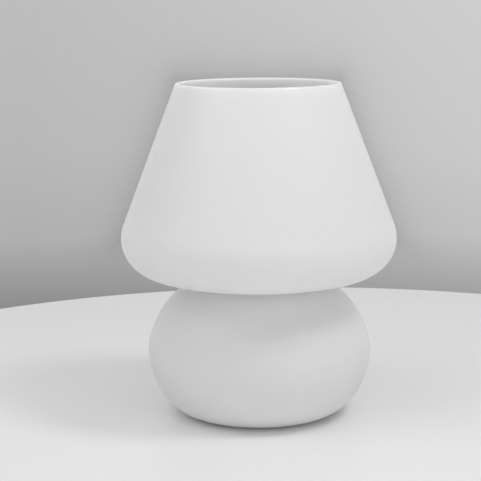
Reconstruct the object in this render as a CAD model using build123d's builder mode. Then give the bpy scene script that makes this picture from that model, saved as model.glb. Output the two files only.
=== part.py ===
from build123d import *

import os
from math import acos, asin, atan2, cos, degrees, hypot, pi, radians, sin, sqrt

# Mushroom table lamp. One blown opal glass body is shade, neck and base in one piece.
# A sprung steel spider snaps into its neck and carries an E14 lampholder, and an LED
# bulb screws into the holder from above, through the open top of the shade.
# The mains lead enters by a grommet low at the back and ends in the holder's gland.
#
# Frame: the origin is on the table, on the lamp's axis. +Z is up, -Y is the front and
# +Y is the back, where the lead enters. Sizes are in millimetres.

# ---------------------------------------------------------------- driving dimensions

# Glass body, outside
lamp_height = 240.0
rim_radius = 59.0
shade_radius = 99.5
shoulder_radius = 27.0
neck_radius = 50.3
neck_fold_radius = 4.0
base_radius = 81.0
belly_height = 47.0
belly_upper_radius = 30.0
belly_upper_turn = 11.5
dome_radius = 65.7
belly_lower_radius = 55.5
heel_radius = 26.0
punt_radius = 35.0
punt_depth = 1.0
wall = 3.2
rim_round = 1.4

# Feet under the glass
pad_count = 4
pad_radius = 4.5
pad_height = 0.7
pad_edge = 0.25

# Mains lead's way in
lead_radius = 3.1
lead_clearance = 0.15
lead_hole_turn = 22.0
grommet_wall = 1.75
grommet_lip = 2.6
grommet_flange = 1.5
grommet_edge = 0.6

# Spider in the neck
arm_count = 3
arm_first_angle = 30.0
arm_width = 12.0
arm_overhang = 7.0
spider_disc_edge = 4.0
spider_thickness = 1.2
cap_skin = 1.0
cap_length = 10.0
spring_width = 8.0
spring_thickness = 0.5
spring_bend_radius = 2.6
spring_hook_turn = 46.0
spring_tail = 1.8
sleeve_skin = 0.7
seat_clearance = 0.1
rivet_radius = 1.5
rivet_head_radius = 2.6
rivet_head = 0.9
rivet_edge = 4.0
rivet_spacing = 8.0

# Lampholder
rim_above_spider = 10.3
rim_to_contact = 27.0
skirt_radius = 14.0
skirt_wall = 2.4
skirt_length = 43.0
skirt_lip = 3.0
skirt_rim_chamfer = 0.6
core_thickness = 8.0
core_drop = 4.0
core_sleeve_wall = 1.6
core_sleeve_height = 12.0
spigot_wall = 1.5
dome_wall = 2.2
dome_straight = 12.0
dome_taper = 8.0
socket_wall = 3.5
socket_length = 7.0
gland_wall = 1.65
gland_head_width = 3.0
gland_head_length = 12.0
gland_chamfer = 0.8
gland_screw_radius = 1.5
gland_screw_head_radius = 2.6
gland_screw_stand = 1.6
gland_screw_slot = 1.0
ring_flange_width = 6.0
ring_flange = 2.2
ring_collar_wall = 3.0
ring_collar = 5.0
ring_grips = 18
ring_grip_depth = 0.8
fit_gap = 0.1

# Screw of cap and holder, E14
thread_pitch = 2.822
thread_round_share = 0.29
thread_depth = 0.77
thread_crest_play = 0.23
thread_core_play = 0.3
cap_crest_radius = 6.92
cap_wall = 0.3
cap_thread_start = 5.6
cap_thread_end = 1.3
shell_wall = 0.4
shell_length = 15.0
shell_start = 3.4
shell_thread_end = 1.5

# Contacts and terminals
strip_thickness = 0.6
strip_width = 4.0
strip_bend_radius = 0.5
leg_x = 3.9
contact_touch_gap = 0.1
tongue_rise = 1.6
terminal_width = 4.4
terminal_depth = 5.2
terminal_height = 9.0
terminal_wire_radius = 1.2
terminal_wire_depth = 6.3
terminal_screw_radius = 1.25
terminal_screw_head_radius = 1.9
terminal_screw_head = 1.5
screw_slot_width = 0.5
screw_slot_depth = 0.6

# Bulb
tip_radius = 2.4
tip_height = 1.0
tip_round = 0.6
insulator_low_radius = 3.4
insulator_inside = 2.0
cap_start = 4.2
cap_length_z = 16.8
collar_radius = 8.3
collar_clearance = 0.7
bulb_above_rim = 0.5
housing_wall = 1.3
housing_height = 27.0
housing_spigot = 6.0
globe_radius = 22.5
globe_wall = 1.2
globe_lip = 2.0
globe_lip_wall = 1.0
globe_lip_band = 0.8
bulb_length = 78.0
heat_sink_wall = 1.0
heat_sink_tube_radius = 11.0
heat_sink_tube = 10.0
heat_sink_hole_radius = 2.0
led_board_thickness = 1.2
led_board_gap = 0.8
led_count = 8
led_ring_radius = 11.0
led_length = 3.5
led_width = 2.8
led_height = 0.8
driver_width = 8.6
driver_thickness = 1.0
capacitor_radius = 2.6
capacitor_length = 9.0
choke_radius = 2.3
choke_length = 5.0
wire_radius = 0.35
wire_overlap = 3.0
pin_spacing = 1.8

# ---------------------------------------------------------------- places worked out

# Glass outline: arcs that run into each other, named by their centres as (radius, height)
belly_lower_centre = (base_radius - belly_lower_radius, belly_height)
heel_turn = asin((belly_height - pad_height - heel_radius) / (belly_lower_radius - heel_radius))
heel_centre = (
    belly_lower_centre[0] + (belly_lower_radius - heel_radius) * cos(heel_turn),
    pad_height + heel_radius,
)
belly_upper_centre = (base_radius - belly_upper_radius, belly_height)
upper_turn = radians(belly_upper_turn)
dome_centre = (
    belly_upper_centre[0] - (dome_radius - belly_upper_radius) * cos(upper_turn),
    belly_upper_centre[1] - (dome_radius - belly_upper_radius) * sin(upper_turn),
)
fold_x = neck_radius + neck_fold_radius
fold_centre = (
    fold_x,
    dome_centre[1] + sqrt((dome_radius + neck_fold_radius) ** 2 - (fold_x - dome_centre[0]) ** 2),
)
dome_end = atan2(fold_centre[1] - dome_centre[1], fold_centre[0] - dome_centre[0])
shoulder_centre = (
    shade_radius - shoulder_radius,
    fold_centre[1] + neck_fold_radius + shoulder_radius,
)
rim_from_shoulder = (rim_radius - shoulder_centre[0], lamp_height - shoulder_centre[1])
cone_lean = atan2(rim_from_shoulder[1], rim_from_shoulder[0]) - acos(
    shoulder_radius / hypot(*rim_from_shoulder)
)

neck_bore = neck_radius - wall
shade_floor = fold_centre[1] + neck_fold_radius + wall
glass_floor = pad_height + wall
pad_ring_radius = (punt_radius + heel_centre[0]) / 2

# Lead hole, square to the glass
hole_turn = radians(lead_hole_turn)
lead_hole_middle = (
    belly_lower_centre[0] + (belly_lower_radius - wall / 2) * cos(hole_turn),
    belly_lower_centre[1] - (belly_lower_radius - wall / 2) * sin(hole_turn),
)
lead_hole_plane = Plane(
    origin=(0, lead_hole_middle[0], lead_hole_middle[1]),
    x_dir=(1, 0, 0),
    z_dir=(0, cos(hole_turn), -sin(hole_turn)),
)
grommet_bore = lead_radius + lead_clearance
lead_hole_radius = grommet_bore + grommet_wall

# Lampholder's radii
skirt_bore = skirt_radius - skirt_wall
spigot_radius = skirt_bore - fit_gap
ring_bore = skirt_radius + fit_gap
ring_radius = skirt_radius + ring_flange_width
ring_collar_radius = skirt_radius + ring_collar_wall

# Spider and springs
spider_bottom = shade_floor + cap_skin
spider_top = spider_bottom + spider_thickness
spider_disc_radius = ring_radius + spider_disc_edge
arm_reach = fold_centre[0] + arm_overhang
arm_angles = [arm_first_angle + 360 / arm_count * n for n in range(arm_count)]
rivet_radii = [spider_disc_radius + rivet_edge + rivet_spacing * n for n in range(2)]
spring_line = spider_bottom - spring_thickness / 2
sleeve_half_width = spring_width / 2 + sleeve_skin
sleeve_face_radius = sqrt((neck_bore - seat_clearance) ** 2 - sleeve_half_width**2)
hook_x = sleeve_face_radius - sleeve_skin - spring_thickness / 2
hook_radius = fold_centre[0] - hook_x
hook_turn = radians(spring_hook_turn)

# Threads: the holder's ridge runs half a pitch from the cap's
thread_round = thread_round_share * thread_pitch
cap_core_radius = cap_crest_radius - thread_depth
cap_bore = cap_core_radius - cap_wall
shell_bore = cap_crest_radius + thread_crest_play
shell_crest_radius = cap_core_radius + thread_core_play
shell_outside = shell_bore + shell_wall

# Lampholder, down from its rim
holder_rim = spider_top + rim_above_spider
contact_level = holder_rim - rim_to_contact
skirt_bottom = holder_rim - skirt_length
core_top = contact_level - core_drop
core_bottom = core_top - core_thickness
core_sleeve_bore = shell_outside + fit_gap
core_sleeve_outside = core_sleeve_bore + core_sleeve_wall
core_sleeve_top = contact_level + core_sleeve_height
skirt_upper_bore = core_sleeve_outside + fit_gap
skirt_lip_radius = collar_radius + collar_clearance
spigot_bore = spigot_radius - spigot_wall
dome_cavity_radius = skirt_radius - dome_wall
dome_straight_bottom = skirt_bottom - dome_straight
dome_bottom = dome_straight_bottom - dome_taper
socket_bottom = dome_bottom - socket_length
gland_bottom = socket_bottom - gland_head_length
gland_thread_radius = grommet_bore + gland_wall
gland_head_radius = gland_thread_radius + gland_head_width
gland_screw_level = socket_bottom - gland_head_length / 2
socket_bore = gland_thread_radius + fit_gap
socket_radius = socket_bore + socket_wall
shell_bottom = contact_level + shell_start
shell_top = shell_bottom + shell_length

# Contacts, as far out as their corners clear the core's sleeve
contact_reach = (
    sqrt((core_sleeve_bore - fit_gap) ** 2 - (strip_width / 2) ** 2) - strip_thickness / 2
)
strip_level = core_top + strip_thickness / 2
touch_level = contact_level - contact_touch_gap - strip_thickness / 2
leg_bottom = core_bottom - terminal_height
terminal_x = leg_x + strip_thickness / 2 + terminal_width / 2
terminal_middle = core_bottom - terminal_height / 2

# Bulb, up from its tip
insulator_bottom = contact_level + tip_height
cap_bottom = contact_level + cap_start
cap_top = cap_bottom + cap_length_z
insulator_top = cap_bottom + insulator_inside
collar_top = holder_rim + bulb_above_rim
housing_bottom = cap_top - housing_spigot
housing_top = cap_top + housing_height
housing_spigot_bore = cap_bore - housing_wall
globe_level = contact_level + bulb_length - globe_radius
globe_cut_radius = sqrt(globe_radius**2 - (globe_level - housing_top) ** 2)
globe_seat_radius = globe_cut_radius - housing_wall
globe_lip_radius = globe_seat_radius - fit_gap
globe_lip_bore = globe_lip_radius - globe_lip_wall
heat_sink_top = housing_top - globe_lip
heat_sink_bottom = heat_sink_top - heat_sink_wall
led_board_radius = globe_lip_bore - led_board_gap
led_board_top = heat_sink_top + led_board_thickness

# The housing's flare: one arc, tangent to the globe where they meet, down to the collar
flare_reach = (globe_cut_radius - collar_radius, housing_top - collar_top)
flare_facing = (globe_cut_radius / globe_radius, (housing_top - globe_level) / globe_radius)
flare_radius = (flare_reach[0] ** 2 + flare_reach[1] ** 2) / (
    2 * (flare_reach[0] * flare_facing[0] + flare_reach[1] * flare_facing[1])
)
flare_centre = (
    globe_cut_radius - flare_radius * flare_facing[0],
    housing_top - flare_radius * flare_facing[1],
)

# The threads' lowest points and turns
cap_thread_low = contact_level + cap_thread_start
cap_turns = (cap_top - cap_thread_end - cap_thread_low) / thread_pitch
shell_thread_low = cap_thread_low + thread_pitch / 2
shell_turns = (shell_top - shell_thread_end - shell_thread_low) / thread_pitch


# ---------------------------------------------------------------- shared operations


def spin(*points, mode=Mode.ADD):
    """Spins a closed outline of (radius, height) points about the lamp's axis."""
    with BuildSketch(Plane.XZ) as outline:
        with BuildLine():
            Polyline(*points, close=True)
        make_face()
    revolve(outline.sketch, axis=Axis.Z, mode=mode)


def spin_band(inner, outer, low, high, mode=Mode.ADD):
    """Spins a plain band between two radii and two heights."""
    spin((inner, low), (outer, low), (outer, high), (inner, high), mode=mode)


def body_side(inset):
    """Draws the glass body's side from heel to rim, moved in from the outside by inset."""
    heel_degrees = degrees(heel_turn)
    dome_degrees = degrees(dome_end)
    CenterArc(heel_centre, heel_radius - inset, -90, 90 - heel_degrees)
    CenterArc(belly_lower_centre, belly_lower_radius - inset, -heel_degrees, heel_degrees)
    CenterArc(belly_upper_centre, belly_upper_radius - inset, 0, belly_upper_turn)
    CenterArc(dome_centre, dome_radius - inset, belly_upper_turn, dome_degrees - belly_upper_turn)
    CenterArc(fold_centre, neck_fold_radius + inset, 180 + dome_degrees, -90 - dome_degrees)
    underside = fold_centre[1] + neck_fold_radius + inset
    Line((fold_centre[0], underside), (shoulder_centre[0], underside))
    CenterArc(shoulder_centre, shoulder_radius - inset, -90, 90 + degrees(cone_lean))
    tangent = (
        shoulder_centre[0] + (shoulder_radius - inset) * cos(cone_lean),
        shoulder_centre[1] + (shoulder_radius - inset) * sin(cone_lean),
    )
    Line(tangent, (rim_radius - inset / cos(cone_lean), lamp_height))


def arm_plane(angle):
    """The upright plane through the axis along one arm: its x is outward and its y is up."""
    outward = (cos(radians(angle)), sin(radians(angle)), 0)
    return Plane(origin=(0, 0, 0), x_dir=outward, z_dir=(outward[1], -outward[0], 0))


def hook_line():
    """Draws a snap spring's hook, down the neck and out under the fold of the glass."""
    turn_end = (
        fold_centre[0] - hook_radius * cos(hook_turn),
        fold_centre[1] - hook_radius * sin(hook_turn),
    )
    tail_end = (
        turn_end[0] + spring_tail * sin(hook_turn),
        turn_end[1] - spring_tail * cos(hook_turn),
    )
    Line((hook_x, spring_line - spring_bend_radius), (hook_x, fold_centre[1]))
    CenterArc(fold_centre, hook_radius, 180, spring_hook_turn)
    Line(turn_end, tail_end)


def thread_ridge(low, turns, centre_radius, inside, outside):
    """A round thread ridge about the axis, kept between two radii."""
    with BuildPart() as ridge:
        with BuildLine() as path:
            Helix(thread_pitch, thread_pitch * turns, centre_radius, center=(0, 0, low))
        with BuildSketch(Plane.XZ) as profile:
            with Locations((centre_radius, low)):
                Circle(thread_round)
            with Locations(((inside + outside) / 2, low)):
                Rectangle(outside - inside, 2 * thread_pitch, mode=Mode.INTERSECT)
        sweep(profile.sketch, path=path.line, is_frenet=True)
    return ridge.part


def save(piece, name):
    """Labels a finished piece and writes its file."""
    piece.part.label = name
    export_step(piece.part, f"parts/{name}.step")


# ---------------------------------------------------------------- glass, feet and grommet

with BuildPart() as glass_body:
    with BuildSketch(Plane.XZ):
        with BuildLine():
            punt_top = (0, pad_height + punt_depth)
            punt_sphere = (punt_radius**2 + punt_depth**2) / (2 * punt_depth)
            punt_turn = -degrees(asin(punt_radius / punt_sphere))
            CenterArc((0, punt_top[1] - punt_sphere), punt_sphere, 90, punt_turn)
            Line((punt_radius, pad_height), (heel_centre[0], pad_height))
            body_side(0)
            Line((rim_radius, lamp_height), (rim_radius - wall / cos(cone_lean), lamp_height))
            body_side(wall)
            Line((heel_centre[0], glass_floor), (0, glass_floor))
            Line((0, glass_floor), punt_top)
        make_face()
    revolve(axis=Axis.Z)
    rim_edges = glass_body.edges().filter_by(GeomType.CIRCLE).group_by(Axis.Z)[-1]
    fillet(rim_edges, radius=min(rim_round, 0.45 * wall))
    with BuildSketch(lead_hole_plane):
        Circle(lead_hole_radius)
    extrude(amount=2 * wall, both=True, mode=Mode.SUBTRACT)

with BuildPart() as lead_grommet:
    grommet_half_length = wall / 2 + grommet_flange + grommet_edge
    with BuildSketch(lead_hole_plane):
        Circle(lead_hole_radius + grommet_lip)
    extrude(amount=grommet_half_length, both=True)
    fillet(lead_grommet.edges().filter_by(GeomType.CIRCLE), radius=grommet_edge)
    with BuildSketch(lead_hole_plane):
        Circle(grommet_bore)
    extrude(amount=grommet_half_length, both=True, mode=Mode.SUBTRACT)
    add(glass_body.part, mode=Mode.SUBTRACT)

with BuildPart() as foot_pads:
    with BuildSketch(Plane.XY):
        with PolarLocations(pad_ring_radius, pad_count, start_angle=180 / pad_count):
            Circle(pad_radius)
    extrude(amount=pad_height)
    fillet(foot_pads.edges().group_by(Axis.Z)[0], radius=min(pad_edge, 0.4 * pad_height))

# ---------------------------------------------------------------- spider in the neck

with BuildPart() as spider_plate:
    with BuildSketch(Plane.XY.offset(spider_bottom)):
        Circle(spider_disc_radius)
        for angle in arm_angles:
            with Locations(Rotation(0, 0, angle)):
                with Locations(((arm_reach - arm_width / 2) / 2, 0)):
                    Rectangle(arm_reach - arm_width / 2, arm_width)
                with Locations((arm_reach - arm_width / 2, 0)):
                    Circle(arm_width / 2)
                with Locations(*[(radius, 0) for radius in rivet_radii]):
                    Circle(rivet_radius, mode=Mode.SUBTRACT)
        Circle(ring_bore, mode=Mode.SUBTRACT)
    extrude(amount=spider_thickness)


def arm_cap(angle):
    """A soft cap over one arm's end, where the arm rests on the glass."""
    straight = cap_length - arm_width / 2
    with BuildPart() as cap:
        with BuildSketch(Plane.XY.offset(shade_floor)):
            with Locations(Rotation(0, 0, angle)):
                with Locations((arm_reach - arm_width / 2, 0)):
                    Circle(arm_width / 2 + cap_skin)
                with Locations((arm_reach - arm_width / 2 - straight / 2, 0)):
                    Rectangle(straight, arm_width + 2 * cap_skin)
        extrude(amount=spider_thickness + 2 * cap_skin)
        fillet(cap.faces().sort_by(Axis.Z)[-1].edges(), radius=0.4 * cap_skin)
        add(spider_plate.part, mode=Mode.SUBTRACT)
    return cap


def snap_spring(angle):
    """A spring strip, flat under its arm, then down the neck and hooked under the glass."""
    bend_centre = (hook_x - spring_bend_radius, spring_line - spring_bend_radius)
    with BuildPart() as spring:
        with BuildSketch(arm_plane(angle)):
            with BuildLine():
                Line((spider_disc_radius, spring_line), (bend_centre[0], spring_line))
                CenterArc(bend_centre, spring_bend_radius, 90, -90)
                hook_line()
            trace(line_width=spring_thickness)
        extrude(amount=spring_width / 2, both=True)
        with BuildSketch(Plane.XY.offset(spider_bottom)):
            with Locations(Rotation(0, 0, angle)):
                with Locations(*[(radius, 0) for radius in rivet_radii]):
                    Circle(rivet_radius)
        extrude(amount=-spring_thickness, mode=Mode.SUBTRACT)
    return spring


def spring_sleeve(angle, spring):
    """A soft sleeve over one spring's hook, between the steel and the glass."""
    with BuildPart() as sleeve:
        with BuildSketch(arm_plane(angle)):
            with BuildLine():
                hook_line()
            trace(line_width=spring_thickness + 2 * sleeve_skin)
        extrude(amount=sleeve_half_width, both=True)
        add(spring.part, mode=Mode.SUBTRACT)
    return sleeve


arm_caps = [arm_cap(angle) for angle in arm_angles]
snap_springs = [snap_spring(angle) for angle in arm_angles]
spring_sleeves = [spring_sleeve(a, spring) for a, spring in zip(arm_angles, snap_springs)]

with BuildPart() as spider_rivets:
    rivet_low = spider_bottom - spring_thickness
    for angle in arm_angles:
        spots = [(r * cos(radians(angle)), r * sin(radians(angle))) for r in rivet_radii]
        with BuildSketch(Plane.XY.offset(rivet_low - rivet_head)):
            with Locations(*spots):
                Circle(rivet_head_radius)
        extrude(amount=rivet_head)
        with BuildSketch(Plane.XY.offset(rivet_low)):
            with Locations(*spots):
                Circle(rivet_radius)
        extrude(amount=spring_thickness + spider_thickness)
        with BuildSketch(Plane.XY.offset(spider_top)):
            with Locations(*spots):
                Circle(rivet_head_radius)
        extrude(amount=rivet_head)
    fillet(spider_rivets.edges().group_by(Axis.Z)[-1], radius=0.6 * rivet_head)

# ---------------------------------------------------------------- lampholder

with BuildPart() as holder_skirt:
    spin_band(skirt_bore, skirt_radius, skirt_bottom, core_top)
    spin_band(skirt_upper_bore, skirt_radius, core_top, holder_rim - skirt_lip)
    spin_band(skirt_lip_radius, skirt_radius, holder_rim - skirt_lip, holder_rim)
    rim_circles = holder_skirt.edges().filter_by(GeomType.CIRCLE).group_by(Axis.Z)[-1]
    chamfer(rim_circles, length=skirt_rim_chamfer)

with BuildPart() as holder_dome:
    spin(
        (spigot_radius, core_bottom),
        (spigot_radius, skirt_bottom),
        (skirt_radius, skirt_bottom),
        (skirt_radius, dome_straight_bottom),
        (socket_radius, dome_bottom),
        (socket_radius, socket_bottom),
        (socket_bore, socket_bottom),
        (socket_bore, dome_bottom + dome_wall),
        (dome_cavity_radius - dome_wall, dome_straight_bottom + dome_wall),
        (dome_cavity_radius, skirt_bottom - spigot_wall),
        (spigot_bore, skirt_bottom),
        (spigot_bore, core_bottom),
    )

with BuildPart() as centre_contact:
    with BuildSketch(Plane.XZ):
        with BuildLine():
            FilletPolyline(
                (leg_x, leg_bottom),
                (leg_x, strip_level),
                (contact_reach, strip_level),
                (contact_reach, strip_level + tongue_rise),
                (tip_radius, touch_level),
                (-tip_radius, touch_level),
                radius=strip_bend_radius,
            )
        trace(line_width=strip_thickness)
    extrude(amount=strip_width / 2, both=True)

with BuildPart() as side_contact:
    with BuildSketch(Plane.XZ):
        with BuildLine():
            FilletPolyline(
                (-leg_x, leg_bottom),
                (-leg_x, strip_level),
                (-contact_reach, strip_level),
                (-contact_reach, shell_bottom),
                radius=strip_bend_radius,
            )
        trace(line_width=strip_thickness)
    extrude(amount=strip_width / 2, both=True)

with BuildPart() as holder_core:
    spin_band(0, spigot_radius, core_bottom, core_top)
    spin_band(core_sleeve_bore, core_sleeve_outside, core_top, core_sleeve_top)
    add(centre_contact.part, mode=Mode.SUBTRACT)
    add(side_contact.part, mode=Mode.SUBTRACT)

with BuildPart() as screw_shell:
    spin_band(shell_bore, shell_outside, shell_bottom, shell_top)
    add(
        thread_ridge(
            low=shell_thread_low,
            turns=shell_turns,
            centre_radius=shell_crest_radius + thread_round,
            inside=shell_crest_radius,
            outside=shell_bore + shell_wall / 2,
        )
    )


def terminal(side):
    """A brass terminal on the outer face of a contact's leg, drilled for wire and screw."""
    with BuildPart() as block:
        with Locations((side * terminal_x, 0, terminal_middle)):
            Box(terminal_width, terminal_depth, terminal_height)
        with BuildSketch(Plane.XY.offset(leg_bottom)):
            with Locations((side * terminal_x, 0)):
                Circle(terminal_wire_radius)
        extrude(amount=terminal_wire_depth, mode=Mode.SUBTRACT)
        with BuildSketch(Plane.XZ.offset(-terminal_depth / 2)):
            with Locations((side * terminal_x, terminal_middle)):
                Circle(terminal_screw_radius)
        extrude(amount=terminal_depth / 2, mode=Mode.SUBTRACT)
    return block


live_terminal = terminal(1)
neutral_terminal = terminal(-1)

with BuildPart() as terminal_screws:
    terminal_face = Plane.XZ.offset(-terminal_depth / 2)
    with BuildSketch(terminal_face):
        with Locations((terminal_x, terminal_middle), (-terminal_x, terminal_middle)):
            Circle(terminal_screw_radius)
    extrude(amount=terminal_depth / 2 - terminal_wire_radius)
    with BuildSketch(terminal_face):
        with Locations((terminal_x, terminal_middle), (-terminal_x, terminal_middle)):
            Circle(terminal_screw_head_radius)
    extrude(amount=-terminal_screw_head)
    with BuildSketch(terminal_face.offset(-terminal_screw_head)):
        with Locations((terminal_x, terminal_middle), (-terminal_x, terminal_middle)):
            Rectangle(2 * terminal_screw_head_radius, screw_slot_width)
    extrude(amount=screw_slot_depth, mode=Mode.SUBTRACT)


def ring_nut(face, away):
    """A ring nut on the skirt: a gripped flange against the spider, then a plain collar."""
    with BuildPart() as ring:
        spin_band(ring_bore, ring_radius, face, face + away * ring_flange)
        spin_band(
            ring_bore, ring_collar_radius, face, face + away * (ring_flange + ring_collar)
        )
        with BuildSketch(Plane.XY.offset(face)):
            with PolarLocations(ring_radius + ring_grip_depth, ring_grips):
                Circle(2 * ring_grip_depth)
        extrude(amount=away * ring_flange, mode=Mode.SUBTRACT)
    return ring


ring_nut_upper = ring_nut(spider_top, 1)
ring_nut_lower = ring_nut(spider_bottom, -1)

with BuildPart() as lead_gland:
    spin_band(grommet_bore, gland_thread_radius, socket_bottom, dome_bottom)
    spin_band(grommet_bore, gland_head_radius, gland_bottom, socket_bottom)
    mouth_circles = lead_gland.edges().filter_by(GeomType.CIRCLE).group_by(Axis.Z)[0]
    chamfer(mouth_circles, length=gland_chamfer)
    with BuildSketch(Plane.XZ.offset(gland_head_radius)):
        with Locations((0, gland_screw_level)):
            Circle(gland_screw_radius)
    extrude(amount=-gland_head_radius, mode=Mode.SUBTRACT)

with BuildPart() as gland_screw:
    gland_face = Plane.XZ.offset(gland_head_radius)
    with BuildSketch(gland_face):
        with Locations((0, gland_screw_level)):
            Circle(gland_screw_radius)
    extrude(amount=-(gland_head_radius - grommet_bore))
    with BuildSketch(gland_face):
        with Locations((0, gland_screw_level)):
            Circle(gland_screw_head_radius)
    extrude(amount=gland_screw_stand)
    with BuildSketch(gland_face.offset(gland_screw_stand)):
        with Locations((0, gland_screw_level)):
            Rectangle(2 * gland_screw_head_radius, gland_screw_slot)
    extrude(amount=-screw_slot_depth, mode=Mode.SUBTRACT)

# ---------------------------------------------------------------- bulb

lead_in = driver_thickness / 2 + wire_radius
with BuildPart() as driver_board:
    with BuildSketch(Plane.XY.offset(insulator_top)):
        Rectangle(driver_width, driver_thickness)
    extrude(amount=heat_sink_bottom - insulator_top)

with BuildPart() as driver_parts:
    with BuildSketch(Plane.XY.offset(collar_top)):
        with Locations((0, driver_thickness / 2 + capacitor_radius)):
            Circle(capacitor_radius)
    extrude(amount=capacitor_length)
    with BuildSketch(Plane.XY.offset(collar_top)):
        with Locations((0, -driver_thickness / 2 - choke_radius)):
            Circle(choke_radius)
    extrude(amount=choke_length)

with BuildPart() as driver_wires:
    with BuildSketch(Plane.XY.offset(insulator_bottom)):
        with Locations((0, lead_in)):
            Circle(wire_radius)
    extrude(amount=insulator_top + wire_overlap - insulator_bottom)
    with BuildSketch(Plane.XZ.offset(driver_thickness / 2)):
        with Locations((0, insulator_top + wire_overlap)):
            Circle(wire_radius)
    extrude(amount=cap_bore - driver_thickness / 2)
    with BuildSketch(Plane.XY.offset(heat_sink_bottom)):
        with Locations((pin_spacing / 2, 0), (-pin_spacing / 2, 0)):
            Circle(wire_radius)
    extrude(amount=heat_sink_wall)

with BuildPart() as bulb_tip_contact:
    spin_band(0, tip_radius, contact_level, insulator_bottom)
    fillet(bulb_tip_contact.edges().group_by(Axis.Z)[0], radius=tip_round)

with BuildPart() as bulb_insulator:
    spin(
        (0, insulator_bottom),
        (insulator_low_radius, insulator_bottom),
        (cap_bore, cap_bottom),
        (cap_bore, insulator_top),
        (0, insulator_top),
    )
    add(driver_wires.part, mode=Mode.SUBTRACT)

with BuildPart() as bulb_cap:
    spin_band(cap_bore, cap_core_radius, cap_bottom, cap_top)
    add(
        thread_ridge(
            low=cap_thread_low,
            turns=cap_turns,
            centre_radius=cap_crest_radius - thread_round,
            inside=cap_core_radius - cap_wall / 2,
            outside=cap_crest_radius,
        )
    )

with BuildPart() as bulb_housing:
    with BuildSketch(Plane.XZ):
        with BuildLine():
            flare_top = degrees(atan2(flare_facing[1], flare_facing[0]))
            outer_low = degrees(
                atan2(collar_top - flare_centre[1], collar_radius - flare_centre[0])
            )
            inner_radius = flare_radius - housing_wall
            inner_collar = collar_radius - housing_wall
            inner_low = degrees(-acos((inner_collar - flare_centre[0]) / inner_radius))
            inner_corner = flare_centre[1] + inner_radius * sin(radians(inner_low))
            ledge = (
                flare_centre[0]
                + sqrt(inner_radius**2 - (heat_sink_bottom - flare_centre[1]) ** 2)
            )
            inner_high = degrees(
                atan2(heat_sink_bottom - flare_centre[1], ledge - flare_centre[0])
            )
            CenterArc(flare_centre, flare_radius, outer_low, flare_top - outer_low)
            CenterArc(flare_centre, inner_radius, inner_low, inner_high - inner_low)
            Polyline(
                (globe_cut_radius, housing_top),
                (globe_seat_radius, housing_top),
                (globe_seat_radius, heat_sink_bottom),
                (ledge, heat_sink_bottom),
            )
            Polyline(
                (inner_collar, inner_corner),
                (inner_collar, cap_top + housing_wall),
                (housing_spigot_bore, cap_top + housing_wall),
                (housing_spigot_bore, housing_bottom),
                (cap_bore, housing_bottom),
                (cap_bore, cap_top),
                (collar_radius, cap_top),
                (collar_radius, collar_top),
            )
        make_face()
    revolve(axis=Axis.Z)

with BuildPart() as bulb_heat_sink:
    spin_band(heat_sink_hole_radius, globe_lip_radius, heat_sink_bottom, heat_sink_top)
    spin_band(
        heat_sink_tube_radius - heat_sink_wall,
        heat_sink_tube_radius,
        heat_sink_bottom - heat_sink_tube,
        heat_sink_bottom,
    )

with BuildPart() as led_board:
    with BuildSketch(Plane.XY.offset(heat_sink_top)):
        Circle(led_board_radius)
    extrude(amount=led_board_thickness)

with BuildPart() as led_chips:
    with BuildSketch(Plane.XY.offset(led_board_top)):
        with PolarLocations(led_ring_radius, led_count):
            Rectangle(led_length, led_width)
    extrude(amount=led_height)

with BuildPart() as bulb_globe:
    band_radius = globe_cut_radius - globe_wall / 2
    with BuildSketch(Plane.XZ):
        with BuildLine():
            cut_turn = degrees(asin((housing_top - globe_level) / globe_radius))
            inner_globe = globe_radius - globe_wall
            inner_turn = degrees(asin((housing_top - globe_level) / inner_globe))
            CenterArc((0, globe_level), globe_radius, cut_turn, 90 - cut_turn)
            CenterArc((0, globe_level), inner_globe, inner_turn, 90 - inner_turn)
            Line((0, globe_level + inner_globe), (0, globe_level + globe_radius))
            Line(
                (globe_cut_radius, housing_top),
                (inner_globe * cos(radians(inner_turn)), housing_top),
            )
        make_face()
    revolve(axis=Axis.Z)
    spin_band(globe_lip_bore, globe_lip_radius, heat_sink_top, housing_top)
    spin_band(globe_lip_bore, band_radius, housing_top, housing_top + globe_lip_band)

# ---------------------------------------------------------------- files

pieces = {
    "glass_body": glass_body,
    "lead_grommet": lead_grommet,
    "foot_pads": foot_pads,
    "spider_plate": spider_plate,
    "spider_rivets": spider_rivets,
    "holder_skirt": holder_skirt,
    "holder_dome": holder_dome,
    "holder_core": holder_core,
    "screw_shell": screw_shell,
    "centre_contact": centre_contact,
    "side_contact": side_contact,
    "live_terminal": live_terminal,
    "neutral_terminal": neutral_terminal,
    "terminal_screws": terminal_screws,
    "ring_nut_upper": ring_nut_upper,
    "ring_nut_lower": ring_nut_lower,
    "lead_gland": lead_gland,
    "gland_screw": gland_screw,
    "bulb_tip_contact": bulb_tip_contact,
    "bulb_insulator": bulb_insulator,
    "bulb_cap": bulb_cap,
    "bulb_housing": bulb_housing,
    "bulb_heat_sink": bulb_heat_sink,
    "bulb_globe": bulb_globe,
    "led_board": led_board,
    "led_chips": led_chips,
    "driver_board": driver_board,
    "driver_parts": driver_parts,
    "driver_wires": driver_wires,
}
for number, piece in enumerate(arm_caps, start=1):
    pieces[f"arm_cap_{number}"] = piece
for number, piece in enumerate(snap_springs, start=1):
    pieces[f"snap_spring_{number}"] = piece
for number, piece in enumerate(spring_sleeves, start=1):
    pieces[f"spring_sleeve_{number}"] = piece

os.makedirs("parts", exist_ok=True)
for name, piece in pieces.items():
    save(piece, name)
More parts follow.
